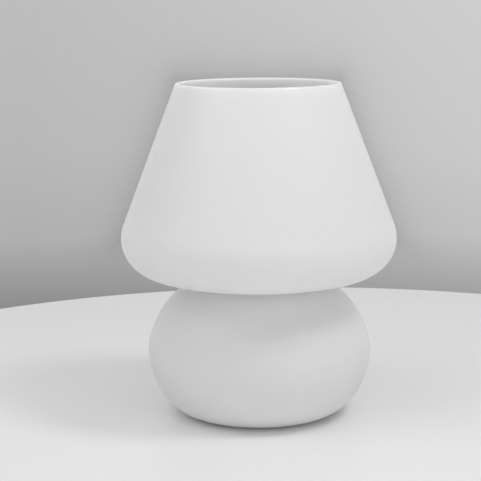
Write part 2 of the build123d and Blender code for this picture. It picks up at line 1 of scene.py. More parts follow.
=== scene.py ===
"""Looks for a mushroom table lamp: a satin opal glass body round a sprung lampholder and its bulb.

The sizes of the pieces are in millimetres and everything handed to Blender is in metres. The frame
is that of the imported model: the origin is on the table on the lamp's axis, +Z is up and -Y faces
the viewer.
"""

import logging
import math
from collections.abc import Callable, Iterable, Sequence
from dataclasses import dataclass, field
from enum import Enum

import bmesh
import bpy
from mathutils import Matrix, Vector


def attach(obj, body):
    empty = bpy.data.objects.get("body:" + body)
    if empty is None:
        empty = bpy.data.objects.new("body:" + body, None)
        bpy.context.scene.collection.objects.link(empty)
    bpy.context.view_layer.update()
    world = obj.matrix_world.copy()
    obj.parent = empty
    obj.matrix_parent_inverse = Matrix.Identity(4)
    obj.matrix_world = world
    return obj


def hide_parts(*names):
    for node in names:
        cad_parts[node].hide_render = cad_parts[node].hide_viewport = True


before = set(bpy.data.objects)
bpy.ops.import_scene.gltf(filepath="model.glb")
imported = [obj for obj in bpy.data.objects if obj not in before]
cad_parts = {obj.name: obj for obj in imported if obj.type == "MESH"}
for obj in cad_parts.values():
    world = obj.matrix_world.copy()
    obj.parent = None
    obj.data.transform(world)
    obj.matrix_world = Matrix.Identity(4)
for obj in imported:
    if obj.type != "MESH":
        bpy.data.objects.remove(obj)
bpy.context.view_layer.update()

LOG = logging.getLogger("lamp")
MM = 0.001
MERGE = 2e-6  # metres between vertices that are one
CAD_MERGE = 1e-6
SMOOTH = 35.0  # degrees past which an edge stays sharp
FLAT = 0.5  # degrees up to which neighbouring faces of a CAD mesh are one

Point = tuple[float, float]
Corner = tuple[float, float, float]
Colour = tuple[float, float, float]


class Body(Enum):
    """The bodies that pieces ride on."""

    STAND = "root"
    LIFT = "bulb_advance"
    BULB = "bulb"


class Slot(Enum):
    """Material slot names, which no piece in this script takes its finish from."""

    BLACK_INSULATOR = "black_insulator"
    BOARD_GREEN = "board_green"
    BOARD_WHITE = "board_white"
    BRASS = "brass"
    BULB_DIFFUSER = "bulb_diffuser"
    BULB_PLASTIC = "bulb_plastic"
    CLEAR_SILICONE = "clear_silicone"
    COMPONENT_BLACK = "component_black"
    LED_PHOSPHOR = "led_phosphor"
    NICKEL_PLATE = "nickel_plate"
    OPAL_GLASS = "opal_glass"
    PLATED_STEEL = "plated_steel"
    PORCELAIN = "porcelain"
    PRESSED_ALUMINIUM = "pressed_aluminium"
    RIVET_ALUMINIUM = "rivet_aluminium"
    SPRING_STEEL = "spring_steel"
    WHITE_PLASTIC = "white_plastic"


# ------------------------------------------------------------------------------ outlines


def arc(centre: Point, radius: float, start: float, turn: float, fineness: float = 4.0) -> list[Point]:
    """Points along an arc in the plane of the lamp's axis.

    Args:
        centre: radius and height of the arc's centre.
        radius: the arc's radius.
        start: where it starts, in degrees from outwards, positive upwards.
        turn: how far it turns, in degrees.
        fineness: the most degrees that one straight run stands for.

    Returns:
        The arc's points, both ends included.
    """
    steps = max(2, math.ceil(abs(turn) / fineness))
    angles = [math.radians(start + turn * i / steps) for i in range(steps + 1)]
    return [(centre[0] + radius * math.cos(a), centre[1] + radius * math.sin(a)) for a in angles]


def rounded(corners: Sequence[Corner], steps: int = 3, closed: bool = True) -> list[Point]:
    """Rounds the corners of an outline.

    Args:
        corners: radius, height and rounding of each corner, in order.
        steps: how many straight runs stand for each rounding.
        closed: whether the last corner joins the first. An open outline keeps its ends.

    Returns:
        The outline's points.
    """
    points: list[Point] = []
    last = len(corners) - 1
    for i, (x, y, rounding) in enumerate(corners):
        if rounding <= 0 or (not closed and i in (0, last)):
            points.append((x, y))
            continue
        corner = Vector((x, y))
        before = Vector(corners[i - 1][:2]) - corner
        after = Vector(corners[(i + 1) % len(corners)][:2]) - corner
        half = before.angle(after) / 2
        reach = min(rounding / math.tan(half), 0.5 * before.length, 0.5 * after.length)
        start = corner + before.normalized() * reach
        end = corner + after.normalized() * reach
        for step in range(steps + 1):
            t = step / steps
            weights = ((1 - t) ** 2, 2 * t * (1 - t) * math.sin(half), t**2)
            point = (start * weights[0] + corner * weights[1] + end * weights[2]) / sum(weights)
            points.append((point.x, point.y))
    return points


# ------------------------------------------------------------------------------ mesh work


def drawn(
    bm: bmesh.types.BMesh, outline: Sequence[Point], closed: bool, centre: Point = (0.0, 0.0)
) -> list[bmesh.types.BMVert | bmesh.types.BMEdge]:
    """Draws an outline in millimetres on the +X side of an upright axis.

    Args:
        bm: the mesh that it is added to.
        outline: radius and height of each point.
        closed: whether the last point joins the first.
        centre: where the axis stands.

    Returns:
        The new vertices and edges.
    """
    verts = [bm.verts.new(Vector((centre[0] + r, centre[1], z)) * MM) for r, z in outline]
    pairs = list(zip(verts, verts[1:])) + ([(verts[-1], verts[0])] if closed else [])
    return verts + [bm.edges.new(pair) for pair in pairs]


def spin(
    bm: bmesh.types.BMesh,
    outline: Sequence[Point],
    steps: int = 96,
    closed: bool = True,
    centre: Point = (0.0, 0.0),
) -> None:
    """Spins an outline a full turn: an eighth is spun and then doubled three times, which is quick.

    Args:
        bm: the mesh that the surface is added to.
        outline: radius and height of each point, in millimetres. An open one starts and ends on the axis.
        steps: how many segments go round, in eights.
        closed: whether the last point joins the first.
        centre: where the axis stands, in millimetres.
    """
    part = bmesh.new()
    axis = Vector((*centre, 0.0)) * MM
    eighth = math.tau / 8
    bmesh.ops.spin(
        part, geom=drawn(part, outline, closed, centre), cent=axis, axis=(0, 0, 1), angle=eighth, steps=steps // 8
    )
    for eighths in (1, 2, 4):
        copy = bmesh.ops.duplicate(part, geom=part.verts[:] + part.edges[:] + part.faces[:])["geom"]
        verts = [element for element in copy if isinstance(element, bmesh.types.BMVert)]
        bmesh.ops.rotate(part, cent=axis, matrix=Matrix.Rotation(eighths * eighth, 3, "Z"), verts=verts)
    bmesh.ops.remove_doubles(part, verts=part.verts, dist=MERGE)
    mesh = bpy.data.meshes.new("part")
    part.to_mesh(mesh)
    part.free()
    bm.from_mesh(mesh)
    bpy.data.meshes.remove(mesh)


def screw(
    bm: bmesh.types.BMesh,
    outline: Sequence[Point],
    pitch: float,
    turns: float,
    steps: int = 64,
    closed: bool = False,
) -> list[bmesh.types.BMVert]:
    """Spins an outline into a right-handed thread that climbs by its pitch on each turn.

    Args:
        bm: the mesh that the thread is added to.
        outline: radius and height of each point, in millimetres.
        pitch: how far a turn climbs, in millimetres.
        turns: how many turns the thread has.
        steps: how many segments go round a turn.
        closed: whether the last point joins the first.

    Returns:
        The vertices of the thread's two ends.
    """
    start = drawn(bm, outline, closed)
    made = round(turns * steps)
    end = bmesh.ops.spin(
        bm,
        geom=start,
        cent=(0, 0, 0),
        axis=(0, 0, 1),
        dvec=(0, 0, pitch * MM / steps),
        angle=math.tau * made / steps,
        steps=made,
    )["geom_last"]
    return [element for element in start + end if isinstance(element, bmesh.types.BMVert)]


def trim(bm: bmesh.types.BMesh, height: float, upwards: bool) -> None:
    """Cuts off everything above or below a height.

    Args:
        bm: the mesh to cut, left open at the cut.
        height: where it is cut, in millimetres.
        upwards: whether what is above goes, and not what is below.
    """
    bmesh.ops.bisect_plane(
        bm,
        geom=bm.verts[:] + bm.edges[:] + bm.faces[:],
        dist=1e-8,
        plane_co=(0, 0, height * MM),
        plane_no=(0, 0, 1 if upwards else -1),
        clear_outer=True,
    )


def close_up(bm: bmesh.types.BMesh) -> None:
    """Merges a new mesh's doubles and turns its faces outwards."""
    bmesh.ops.remove_doubles(bm, verts=bm.verts, dist=MERGE)
    bmesh.ops.recalc_face_normals(bm, faces=bm.faces)


def new_piece(name: str, bm: bmesh.types.BMesh) -> bpy.types.Object:
    """Makes an object of a bmesh, at the origin, with smooth shading up to an angle.

    Args:
        name: the piece's name.
        bm: its mesh, which is freed.

    Returns:
        The new object, linked to the scene.
    """
    mesh = bpy.data.meshes.new(name)
    bm.to_mesh(mesh)
    bm.free()
    mesh.polygons.foreach_set("use_smooth", [True] * len(mesh.polygons))
    mesh.set_sharp_from_angle(angle=math.radians(SMOOTH))
    piece = bpy.data.objects.new(name, mesh)
    bpy.context.scene.collection.objects.link(piece)
    return piece


def lathe(name: str, *outlines: Sequence[Point], steps: int = 96, closed: bool = True) -> bpy.types.Object:
    """Makes a piece of one or more outlines spun about the lamp's axis.

    Args:
        name: the piece's name.
        outlines: radius and height of each point, in millimetres.
        steps: how many segments go round, in eights.
        closed: whether each outline's last point joins its first.

    Returns:
        The new piece.
    """
    bm = bmesh.new()
    for outline in outlines:
        spin(bm, outline, steps, closed)
    close_up(bm)
    return new_piece(name, bm)


def rolled_sheet(
    bm: bmesh.types.BMesh,
    mean: float,
    depth: float,
    pitch: float,
    crest: float,
    low: float,
    high: float,
    sheet: float,
    points: int = 14,
) -> None:
    """Rolls a wave-shaped thread into a tube of thin sheet.

    Args:
        bm: the mesh that the tube is added to, empty so far.
        mean: the wave's middle radius on its outer side.
        depth: how far it swings to each side.
        pitch: the thread's pitch.
        crest: a height at which the wave is furthest out on the +X side.
        low: where the tube starts.
        high: where it ends.
        sheet: the sheet's thickness, all in millimetres.
        points: how many straight runs stand for one wave.
    """
    spare_turns = 2
    start = low - 1.5 * pitch
    heights = [start + pitch * i / points for i in range(points + 1)]
    wave = [(mean + depth * math.cos(math.tau * (z - crest) / pitch), z) for z in heights]
    screw(bm, wave, pitch, math.ceil((high - low) / pitch) + spare_turns)
    bmesh.ops.remove_doubles(bm, verts=bm.verts, dist=MERGE)
    trim(bm, high, upwards=True)
    trim(bm, low, upwards=False)
    bmesh.ops.recalc_face_normals(bm, faces=bm.faces)
    bmesh.ops.solidify(bm, geom=bm.faces[:], thickness=sheet * MM)


def ridge(
    bm: bmesh.types.BMesh, root: float, crest: float, pitch: float, low: float, high: float, width: float
) -> None:
    """Adds a moulded thread ridge round a plain cylinder, sunk a little into it.

    Args:
        bm: the mesh that the ridge is added to.
        root: the cylinder's radius.
        crest: the ridge's outer radius.
        pitch: the thread's pitch.
        low: where the ridge starts.
        high: where it ends.
        width: how wide its top is, all in millimetres.
    """
    sunk, edge, flank = 0.2, 0.12, 0.55 * (crest - root)
    foot = 2 * flank + width
    corners = [
        (root - sunk, low, 0.0),
        (root, low, 0.0),
        (crest, low + flank, edge),
        (crest, low + flank + width, edge),
        (root, low + foot, 0.0),
        (root - sunk, low + foot, 0.0),
    ]
    verts = screw(bm, rounded(corners, 2), pitch, (high - low - foot) / pitch, closed=True)
    ends = {e for v in verts for e in v.link_edges if e.is_boundary}
    bmesh.ops.edgeloop_fill(bm, edges=list(ends))


def softened(node: str, width: float, segments: int = 2, corner: float = 30.0) -> bpy.types.Object:
    """Copies a CAD node and rounds its sharp edges.

    Args:
        node: the CAD node's name.
        width: how wide the rounding is, in millimetres.
        segments: how many strips it has.
        corner: edges that turn by more degrees than this are rounded.

    Returns:
        The rounded copy.
    """
    bm = bmesh.new()
    bm.from_mesh(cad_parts[node].data)
    bmesh.ops.remove_doubles(bm, verts=bm.verts, dist=CAD_MERGE)
    bmesh.ops.dissolve_limit(bm, angle_limit=math.radians(FLAT), verts=bm.verts, edges=bm.edges)
    sharp = [e for e in bm.edges if e.is_manifold and e.calc_face_angle() > math.radians(corner)]
    bmesh.ops.bevel(
        bm,
        geom=sharp,
        offset=width * MM,
        offset_type="OFFSET",
        segments=segments,
        profile=0.5,
        affect="EDGES",
        clamp_overlap=True,
        material=-1,
    )
    return new_piece(f"{node}_finished", bm)


def dress(
    piece: bpy.types.Object,
    body: Body,
    finishes: "Finish | Sequence[Finish]",
    nodes: Iterable[str],
) -> bpy.types.Object:
    """Gives a new piece its finish, its body and the CAD nodes that it stands for.

    Args:
        piece: the new piece.
        body: the CAD body that it moves with.
        finishes: what it is made of, one for each material index.
        nodes: the CAD nodes that it replaces.

    Returns:
        The same piece.
    """
    piece.data.materials.clear()
    for finish in [finishes] if isinstance(finishes, Finish) else finishes:
        piece.data.materials.append(finish.material())
    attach(piece, body.value)
    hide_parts(*nodes)
    LOG.info("%s: %d faces, for %s", piece.name, len(piece.data.polygons), ", ".join(nodes))
    return piece


def dress_node(node: str, finish: "Finish") -> None:
    """Gives a CAD node that keeps its shape its finish.

    Args:
        node: the CAD node's name.
        finish: what it is made of.
    """
    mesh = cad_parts[node].data
    material = finish.material()
    if not mesh.materials:
        mesh.materials.append(material)
    for index in range(len(mesh.materials)):
        mesh.materials[index] = material
    LOG.info("%s keeps its CAD shape", node)


# ------------------------------------------------------------------------------ finishes


@dataclass
class Graph:
    """A shader node tree that is being wired."""

    tree: bpy.types.NodeTree

    def node(self, kind: str, **inputs: object) -> bpy.types.Node:
        """Adds a node and sets its inputs.

        Args:
            kind: the node's type.
            inputs: values or outputs by the input's name, with underscores for spaces.

        Returns:
            The new node.
        """
        node = self.tree.nodes.new(kind)
        for name, value in inputs.items():
            self.feed(node.inputs[name.replace("_", " ")], value)
        return node

    def feed(self, socket: bpy.types.NodeSocket, value: object) -> None:
        """Links an output to a socket, or sets the socket to a constant.

        Args:
            socket: the input.
            value: the output or the constant. A colour has three numbers.
        """
        if isinstance(value, bpy.types.NodeSocket):
            self.tree.links.new(value, socket)
        elif isinstance(value, tuple) and len(value) == 3 and socket.type == "RGBA":
            socket.default_value = (*value, 1.0)
        else:
            socket.default_value = value

    def place(self) -> bpy.types.NodeSocket:
        """The point on the piece, in metres."""
        return self.node("ShaderNodeTexCoord").outputs["Object"]

    def noise(self, scale: object, detail: float = 3.0, at: object = None) -> bpy.types.NodeSocket:
        """A noise from 0 to 1 over the piece.

        Args:
            scale: how many features there are in a metre.
            detail: how many finer noises are laid over it.
            at: where it is read, by default the point on the piece.

        Returns:
            The noise.
        """
        node = self.node("ShaderNodeTexNoise", Scale=scale, Detail=detail)
        self.feed(node.inputs["Vector"], self.place() if at is None else at)
        return node.outputs[0]

    def maths(self, operation: str, a: object, b: object = 0.0) -> bpy.types.NodeSocket:
        """One step of arithmetic.

        Args:
            operation: the Math node's operation.
            a: its first value.
            b: its second value.

        Returns:
            The result.
        """
        node = self.node("ShaderNodeMath")
        node.operation = operation
        self.feed(node.inputs[0], a)
        self.feed(node.inputs[1], b)
        return node.outputs[0]

    def span(
        self, value: object, low: float, high: float, to_low: object, to_high: object
    ) -> bpy.types.NodeSocket:
        """Carries a value from one range to another, held at its ends.

        Args:
            value: what is carried.
            low: where its range starts.
            high: where its range ends.
            to_low: what the start becomes.
            to_high: what the end becomes.

        Returns:
            The value in its new range.
        """
        return self.node(
            "ShaderNodeMapRange", Value=value, From_Min=low, From_Max=high, To_Min=to_low, To_Max=to_high
        ).outputs[0]

    def mix(self, share: object, a: object, b: object) -> bpy.types.NodeSocket:
        """Mixes two colours.

        Args:
            share: how much of the second there is.
            a: the first colour.
            b: the second colour.

        Returns:
            The mixed colour.
        """
        node = self.node("ShaderNodeMix")
        node.data_type = "RGBA"
        factor, first, second, mixed = 0, 6, 7, 2  # the sockets that this kind of mix uses
        for index, value in ((factor, share), (first, a), (second, b)):
            self.feed(node.inputs[index], value)
        return node.outputs[mixed]

    def effect(self, effect: "Effect", **inputs: object) -> bpy.types.NodeSocket:
        """Places one of the shared effects.

        Args:
            effect: which one.
            inputs: values or outputs by the input's name, with underscores for spaces.

        Returns:
            What the effect puts out.
        """
        node = self.tree.nodes.new("ShaderNodeGroup")
        node.node_tree = EFFECTS[effect]()
        for key, value in inputs.items():
            self.feed(node.inputs[key.replace("_", " ")], value)
        return node.outputs[0]


class Effect(Enum):
    """The effects that more than one finish uses, by their groups' names."""

    CLOUDY_COLOUR = "cloudy colour"
    UNEVEN_GLOSS = "uneven gloss"
    FINE_RELIEF = "fine relief"
    DRAWN_LINES = "drawn lines"


def new_effect(
    effect: Effect,
    inputs: dict[str, str],
    output: tuple[str, str],
    build: Callable[[Graph, bpy.types.Node], bpy.types.NodeSocket],
) -> bpy.types.NodeTree:
    """Makes a shared effect, or finds it if it is already made.

    Args:
        effect: which one.
        inputs: each input's name and socket type.
        output: the output's name and socket type.
        build: wires the inside and returns what goes out.

    Returns:
        The node group.
    """
    found = bpy.data.node_groups.get(effect.value)
    if found:
        return found
    tree = bpy.data.node_groups.new(effect.value, "ShaderNodeTree")
    for label, kind in inputs.items():
        tree.interface.new_socket(label, in_out="INPUT", socket_type=kind)
    tree.interface.new_socket(output[0], in_out="OUTPUT", socket_type=output[1])
    graph = Graph(tree)
    source = tree.nodes.new("NodeGroupInput")
    target = tree.nodes.new("NodeGroupOutput")
    graph.feed(target.inputs[0], build(graph, source))
    return tree


NUMBER = "NodeSocketFloat"
COLOUR = "NodeSocketColor"
VECTOR = "NodeSocketVector"
NOISE_LOW, NOISE_HIGH = 0.25, 0.75  # where a noise mostly lies


def cloudy_colour() -> bpy.types.NodeTree:
    """A colour that drifts a little lighter and darker in soft patches.

    Returns:
        The effect's group.
    """

    def build(graph: Graph, source: bpy.types.Node) -> bpy.types.NodeSocket:
        """Wires the colour's drift.

        Args:
            graph: the group's node tree.
            source: the node that gives its inputs.

        Returns:
            The drifting colour.
        """
        drift = graph.span(graph.noise(source.outputs["Patches"]), NOISE_LOW, NOISE_HIGH, -1.0, 1.0)
        value = graph.maths("MULTIPLY_ADD", drift, source.outputs["Share"])
        value.node.inputs[2].default_value = 1.0
        shifted = graph.node("ShaderNodeHueSaturation", Value=value)
        graph.feed(shifted.inputs["Color"], source.outputs["Colour"])
        return shifted.outputs[0]

    inputs = {"Colour": COLOUR, "Share": NUMBER, "Patches": NUMBER}
    return new_effect(Effect.CLOUDY_COLOUR, inputs, ("Colour", COLOUR), build)


def uneven_gloss() -> bpy.types.NodeTree:
    """A roughness that changes in patches, as handling and moulding leave it.

    Returns:
        The effect's group.
    """

    def build(graph: Graph, source: bpy.types.Node) -> bpy.types.NodeSocket:
        """Wires the roughness's drift.

        Args:
            graph: the group's node tree.
            source: the node that gives its inputs.

        Returns:
            The drifting roughness.
        """
        drift = graph.span(graph.noise(source.outputs["Patches"], 5.0), NOISE_LOW, NOISE_HIGH, -1.0, 1.0)
        value = graph.maths("MULTIPLY_ADD", drift, source.outputs["Share"])
        graph.feed(value.node.inputs[2], source.outputs["Roughness"])
        value.node.use_clamp = True
        return value

    inputs = {"Roughness": NUMBER, "Share": NUMBER, "Patches": NUMBER}
    return new_effect(Effect.UNEVEN_GLOSS, inputs, ("Roughness", NUMBER), build)


def fine_relief() -> bpy.types.NodeTree:
    """The small relief of an etched, moulded or cast surface.

    Returns:
        The effect's group.
    """

    def build(graph: Graph, source: bpy.types.Node) -> bpy.types.NodeSocket:
        """Wires the grain into a bump.

        Args:
            graph: the group's node tree.
            source: the node that gives its inputs.

        Returns:
            The normal.
        """
        grain = graph.noise(source.outputs["Grains"], 2.0)
        bump = graph.node("ShaderNodeBump", Strength=1.0, Height=grain)
        graph.feed(bump.inputs["Distance"], source.outputs["Depth"])
        return bump.outputs[0]

    return new_effect(Effect.FINE_RELIEF, {"Grains": NUMBER, "Depth": NUMBER}, ("Normal", VECTOR), build)


def drawn_lines() -> bpy.types.NodeTree:
    """The lines that rolling, turning or brushing leaves, drawn out along one direction.

    Returns:
        The effect's group.
    """

    def build(graph: Graph, source: bpy.types.Node) -> bpy.types.NodeSocket:
        """Wires a noise that is stretched along the lines.

        Args:
            graph: the group's node tree.
            source: the node that gives its inputs.

        Returns:
            The lines, from 0 to 1.
        """
        stretched = graph.node("ShaderNodeVectorMath")
        stretched.operation = "MULTIPLY"
        graph.feed(stretched.inputs[0], graph.place())
        graph.feed(stretched.inputs[1], source.outputs["Stretch"])
        return graph.noise(source.outputs["Lines"], 4.0, stretched.outputs[0])

    return new_effect(Effect.DRAWN_LINES, {"Lines": NUMBER, "Stretch": VECTOR}, ("Mask", NUMBER), build)


EFFECTS: dict[Effect, Callable[[], bpy.types.NodeTree]] = {
    Effect.CLOUDY_COLOUR: cloudy_colour,
    Effect.UNEVEN_GLOSS: uneven_gloss,
    Effect.FINE_RELIEF: fine_relief,
    Effect.DRAWN_LINES: drawn_lines,
}


@dataclass(frozen=True)
class Finish:
    """What a piece is made of and how its surface varies."""

    name: str
    colour: Colour
    roughness: float
    metallic: float = 0.0
    ior: float = 1.5
    glow: float = 0.0
    glow_depth: float = 0.004
    share: float = 0.03
    patches: float = 60.0
    gloss_share: float = 0.05
    gloss_patches: float = 140.0
    grains: float = 2500.0
    depth: float = 0.00002

    def material(self) -> bpy.types.Material:
        """Builds the material, or finds it if it is already built.

        Returns:
            The material.
        """
        found = bpy.data.materials.get(self.name)
        if found:
            return found
        material = bpy.data.materials.new(self.name)
        material.use_nodes = True
        material.diffuse_color = (*self.colour, 1.0)
        graph = Graph(material.node_tree)
        shader = graph.tree.nodes["Principled BSDF"]
        shader.subsurface_method = "RANDOM_WALK"
        for name, value in self.constants().items():
            shader.inputs[name].default_value = value
        self.wire(graph, shader)
        return material

    def constants(self) -> dict[str, object]:
        """What is the same all over the surface.

        Returns:
            The shader's values by the input's name.
        """
        return {
            "Metallic": self.metallic,
            "IOR": self.ior,
            "Subsurface Weight": self.glow,
            "Subsurface Scale": self.glow_depth,
            "Subsurface Radius": (1.0, 1.0, 1.0),
        }

    def wire(self, graph: Graph, shader: bpy.types.Node) -> None:
        """Wires what changes over the surface into the shader.

        Args:
            graph: the material's node tree.
            shader: its Principled shader.
        """
        graph.feed(shader.inputs["Base Color"], self.tint(graph))
        graph.feed(shader.inputs["Roughness"], self.gloss(graph))
        graph.feed(shader.inputs["Normal"], self.relief(graph))

    def tint(self, graph: Graph) -> bpy.types.NodeSocket:
        """The colour over the surface."""
        return graph.effect(Effect.CLOUDY_COLOUR, Colour=self.colour, Share=self.share, Patches=self.patches)

    def gloss(self, graph: Graph) -> bpy.types.NodeSocket:
        """The roughness over the surface.

        Args:
            graph: the material's node tree.

        Returns:
            The roughness.
        """
        return graph.effect(
            Effect.UNEVEN_GLOSS, Roughness=self.roughness, Share=self.gloss_share, Patches=self.gloss_patches
        )

    def relief(self, graph: Graph) -> bpy.types.NodeSocket:
        """The relief over the surface."""
        return graph.effect(Effect.FINE_RELIEF, Grains=self.grains, Depth=self.depth)


@dataclass(frozen=True)
class OpalGlass(Finish):
    """Blown opal glass, satin-etched all over but for a fire-polished rim."""

    rim_from: float = 0.2386
    rim_to: float = 0.2394
    rim_roughness: float = 0.16
    swirl: float = 9.0
    swirl_depth: float = 0.0006

    def gloss(self, graph: Graph) -> bpy.types.NodeSocket:
        """The roughness: etched satin below, melted smooth at the rim.

        Args:
            graph: the material's node tree.

        Returns:
            The roughness over the surface.
        """
        etched = Finish.gloss(self, graph)
        height = graph.node("ShaderNodeSeparateXYZ", Vector=graph.place()).outputs["Z"]
        melted = graph.span(height, self.rim_from, self.rim_to, 0.0, 1.0)
        drop = graph.maths("MULTIPLY", melted, self.roughness - self.rim_roughness)
        return graph.maths("SUBTRACT", etched, drop)

    def relief(self, graph: Graph) -> bpy.types.NodeSocket:
        """The etching's grain on the slow waves that blowing leaves in the wall.

        Args:
            graph: the material's node tree.

        Returns:
            The normal over the surface.
        """
        waves = graph.node("ShaderNodeBump", Strength=1.0, Distance=self.swirl_depth)
        graph.feed(waves.inputs["Height"], graph.noise(self.swirl, 1.0))
        grain = graph.node("ShaderNodeBump", Strength=1.0, Distance=self.depth, Normal=waves.outputs[0])
        graph.feed(grain.inputs["Height"], graph.noise(self.grains, 2.0))
        return grain.outputs[0]


@dataclass(frozen=True)
class DrawnMetal(Finish):
    """Metal with the fine lines that rolling, turning or plating over them leaves."""

    metallic: float = 1.0
    lines: float = 900.0
    stretch: tuple[float, float, float] = (1.0, 1.0, 0.06)
    line_share: float = 0.12
    line_depth: float = 0.000008

    def gloss(self, graph: Graph) -> bpy.types.NodeSocket:
        """The roughness, duller in the lines.

        Args:
            graph: the material's node tree.

        Returns:
            The roughness over the surface.
        """
        lines = graph.effect(Effect.DRAWN_LINES, Lines=self.lines, Stretch=self.stretch)
        drift = graph.span(lines, 0.3, 0.7, -self.line_share, self.line_share)
        return graph.maths("ADD", Finish.gloss(self, graph), drift)

    def relief(self, graph: Graph) -> bpy.types.NodeSocket:
        """The lines themselves."""
        lines = graph.effect(Effect.DRAWN_LINES, Lines=self.lines, Stretch=self.stretch)
        return graph.node("ShaderNodeBump", Strength=1.0, Distance=self.line_depth, Height=lines).outputs[0]


@dataclass(frozen=True)
class SpeckledFinish(Finish):
    """A surface with a second colour in small specks, such as phosphor grains or ferrite."""

    speck: Colour = (1.0, 1.0, 1.0)
    specks: float = 2400.0
    from_share: float = 0.5
    to_share: float = 0.65

    def tint(self, graph: Graph) -> bpy.types.NodeSocket:
        """The main colour with specks of the second."""
        mask = graph.span(graph.noise(self.specks, 2.0), self.from_share, self.to_share, 0.0, 1.0)
        return graph.mix(mask, Finish.tint(self, graph), self.speck)


ACROSS = (0.06, 1.0, 1.0)
ROUND = (0.05, 0.05, 1.0)
EVEN = (1.0, 1.0, 1.0)

OPAL = OpalGlass(
    "satin_opal_glass",
    (0.93, 0.93, 0.925),
    0.34,
    glow=1.0,
    glow_depth=0.012,
    share=0.012,
    patches=14.0,
    gloss_share=0.03,
    gloss_patches=60.0,
    grains=3200.0,
    depth=0.000012,
)
SILICONE = Finish(
    "clear_silicone",
    (0.74, 0.75, 0.75),
    0.38,
    ior=1.41,
    glow=0.6,
    glow_depth=0.003,
    share=0.04,
    gloss_share=0.07,
)
ZINC = DrawnMetal("bright_zinc_plate", (0.66, 0.68, 0.70), 0.26, share=0.08, patches=180.0, stretch=ACROSS)
SPRING = DrawnMetal("rolled_spring_steel", (0.44, 0.45, 0.47), 0.30, share=0.10, patches=240.0, stretch=ROUND)
RIVET = DrawnMetal("rivet_aluminium", (0.76, 0.76, 0.77), 0.32, lines=1500.0, stretch=EVEN)
PLASTIC = Finish(
    "white_moulded_plastic",
    (0.82, 0.82, 0.80),
    0.40,
    ior=1.53,
    glow=0.12,
    glow_depth=0.0015,
    share=0.02,
    grains=1800.0,
    depth=0.000025,
)
PORCELAIN = Finish("glazed_porcelain", (0.84, 0.83, 0.80), 0.22, ior=1.56, glow=0.1, share=0.04, patches=220.0)
BRASS = DrawnMetal("dulled_brass", (0.78, 0.58, 0.28), 0.28, share=0.12, patches=260.0, stretch=ROUND)
NICKEL = DrawnMetal("nickel_plate", (0.72, 0.70, 0.66), 0.20, share=0.05, patches=260.0, stretch=ROUND)
SOLDER = DrawnMetal("solder", (0.70, 0.70, 0.70), 0.34, share=0.12, patches=700.0, stretch=EVEN)
BLACK_GLASS = Finish("black_insulator", (0.02, 0.02, 0.025), 0.18, ior=1.52, share=0.2, patches=400.0)
BULB_PLASTIC = Finish(
    "bulb_housing_plastic",
    (0.84, 0.84, 0.83),
    0.26,
    glow=0.1,
    glow_depth=0.0015,
    share=0.02,
    depth=0.00001,
)
DIFFUSER = Finish(
    "milky_diffuser",
    (0.86, 0.86, 0.84),
    0.34,
    ior=1.58,
    glow=0.5,
    glow_depth=0.006,
    share=0.015,
    depth=0.000008,
)
ALUMINIUM = DrawnMetal("pressed_aluminium", (0.78, 0.78, 0.79), 0.34, share=0.06, stretch=EVEN)
WHITE_MASK = Finish("white_solder_mask", (0.82, 0.83, 0.82), 0.30, share=0.03, patches=300.0, depth=0.00003)
LED_CASE = Finish("led_case", (0.86, 0.86, 0.84), 0.35, share=0.03, patches=500.0)
PHOSPHOR = SpeckledFinish(
    "led_phosphor",
    (0.88, 0.66, 0.16),
    0.45,
    glow=0.3,
    glow_depth=0.0005,
    speck=(0.93, 0.76, 0.3),
)
GREEN_MASK = SpeckledFinish(
    "green_solder_mask",
    (0.03, 0.20, 0.09),
    0.28,
    speck=(0.05, 0.30, 0.14),
    specks=420.0,
    from_share=0.52,
    to_share=0.54,
)
SLEEVE = Finish("capacitor_sleeve", (0.02, 0.02, 0.025), 0.28, share=0.2, patches=300.0)
FERRITE = SpeckledFinish("ferrite", (0.05, 0.05, 0.055), 0.55, speck=(0.10, 0.10, 0.11), depth=0.00005)
COPPER = DrawnMetal(
    "enamelled_copper",
    (0.62, 0.26, 0.12),
    0.30,
    lines=300.0,
    stretch=(0.05, 0.05, 8.0),
    line_depth=0.00008,
)
TABLE = Finish(
    "white_satin_table",
    (0.815, 0.815, 0.815),
    0.36,
    share=0.01,
    patches=6.0,
    gloss_share=0.03,
    gloss_patches=12.0,
    grains=900.0,
    depth=0.00001,
)
TINNED = DrawnMetal("tinned_wire", (0.74, 0.74, 0.74), 0.28, share=0.08, patches=500.0)


# ------------------------------------------------------------------------------ glass body


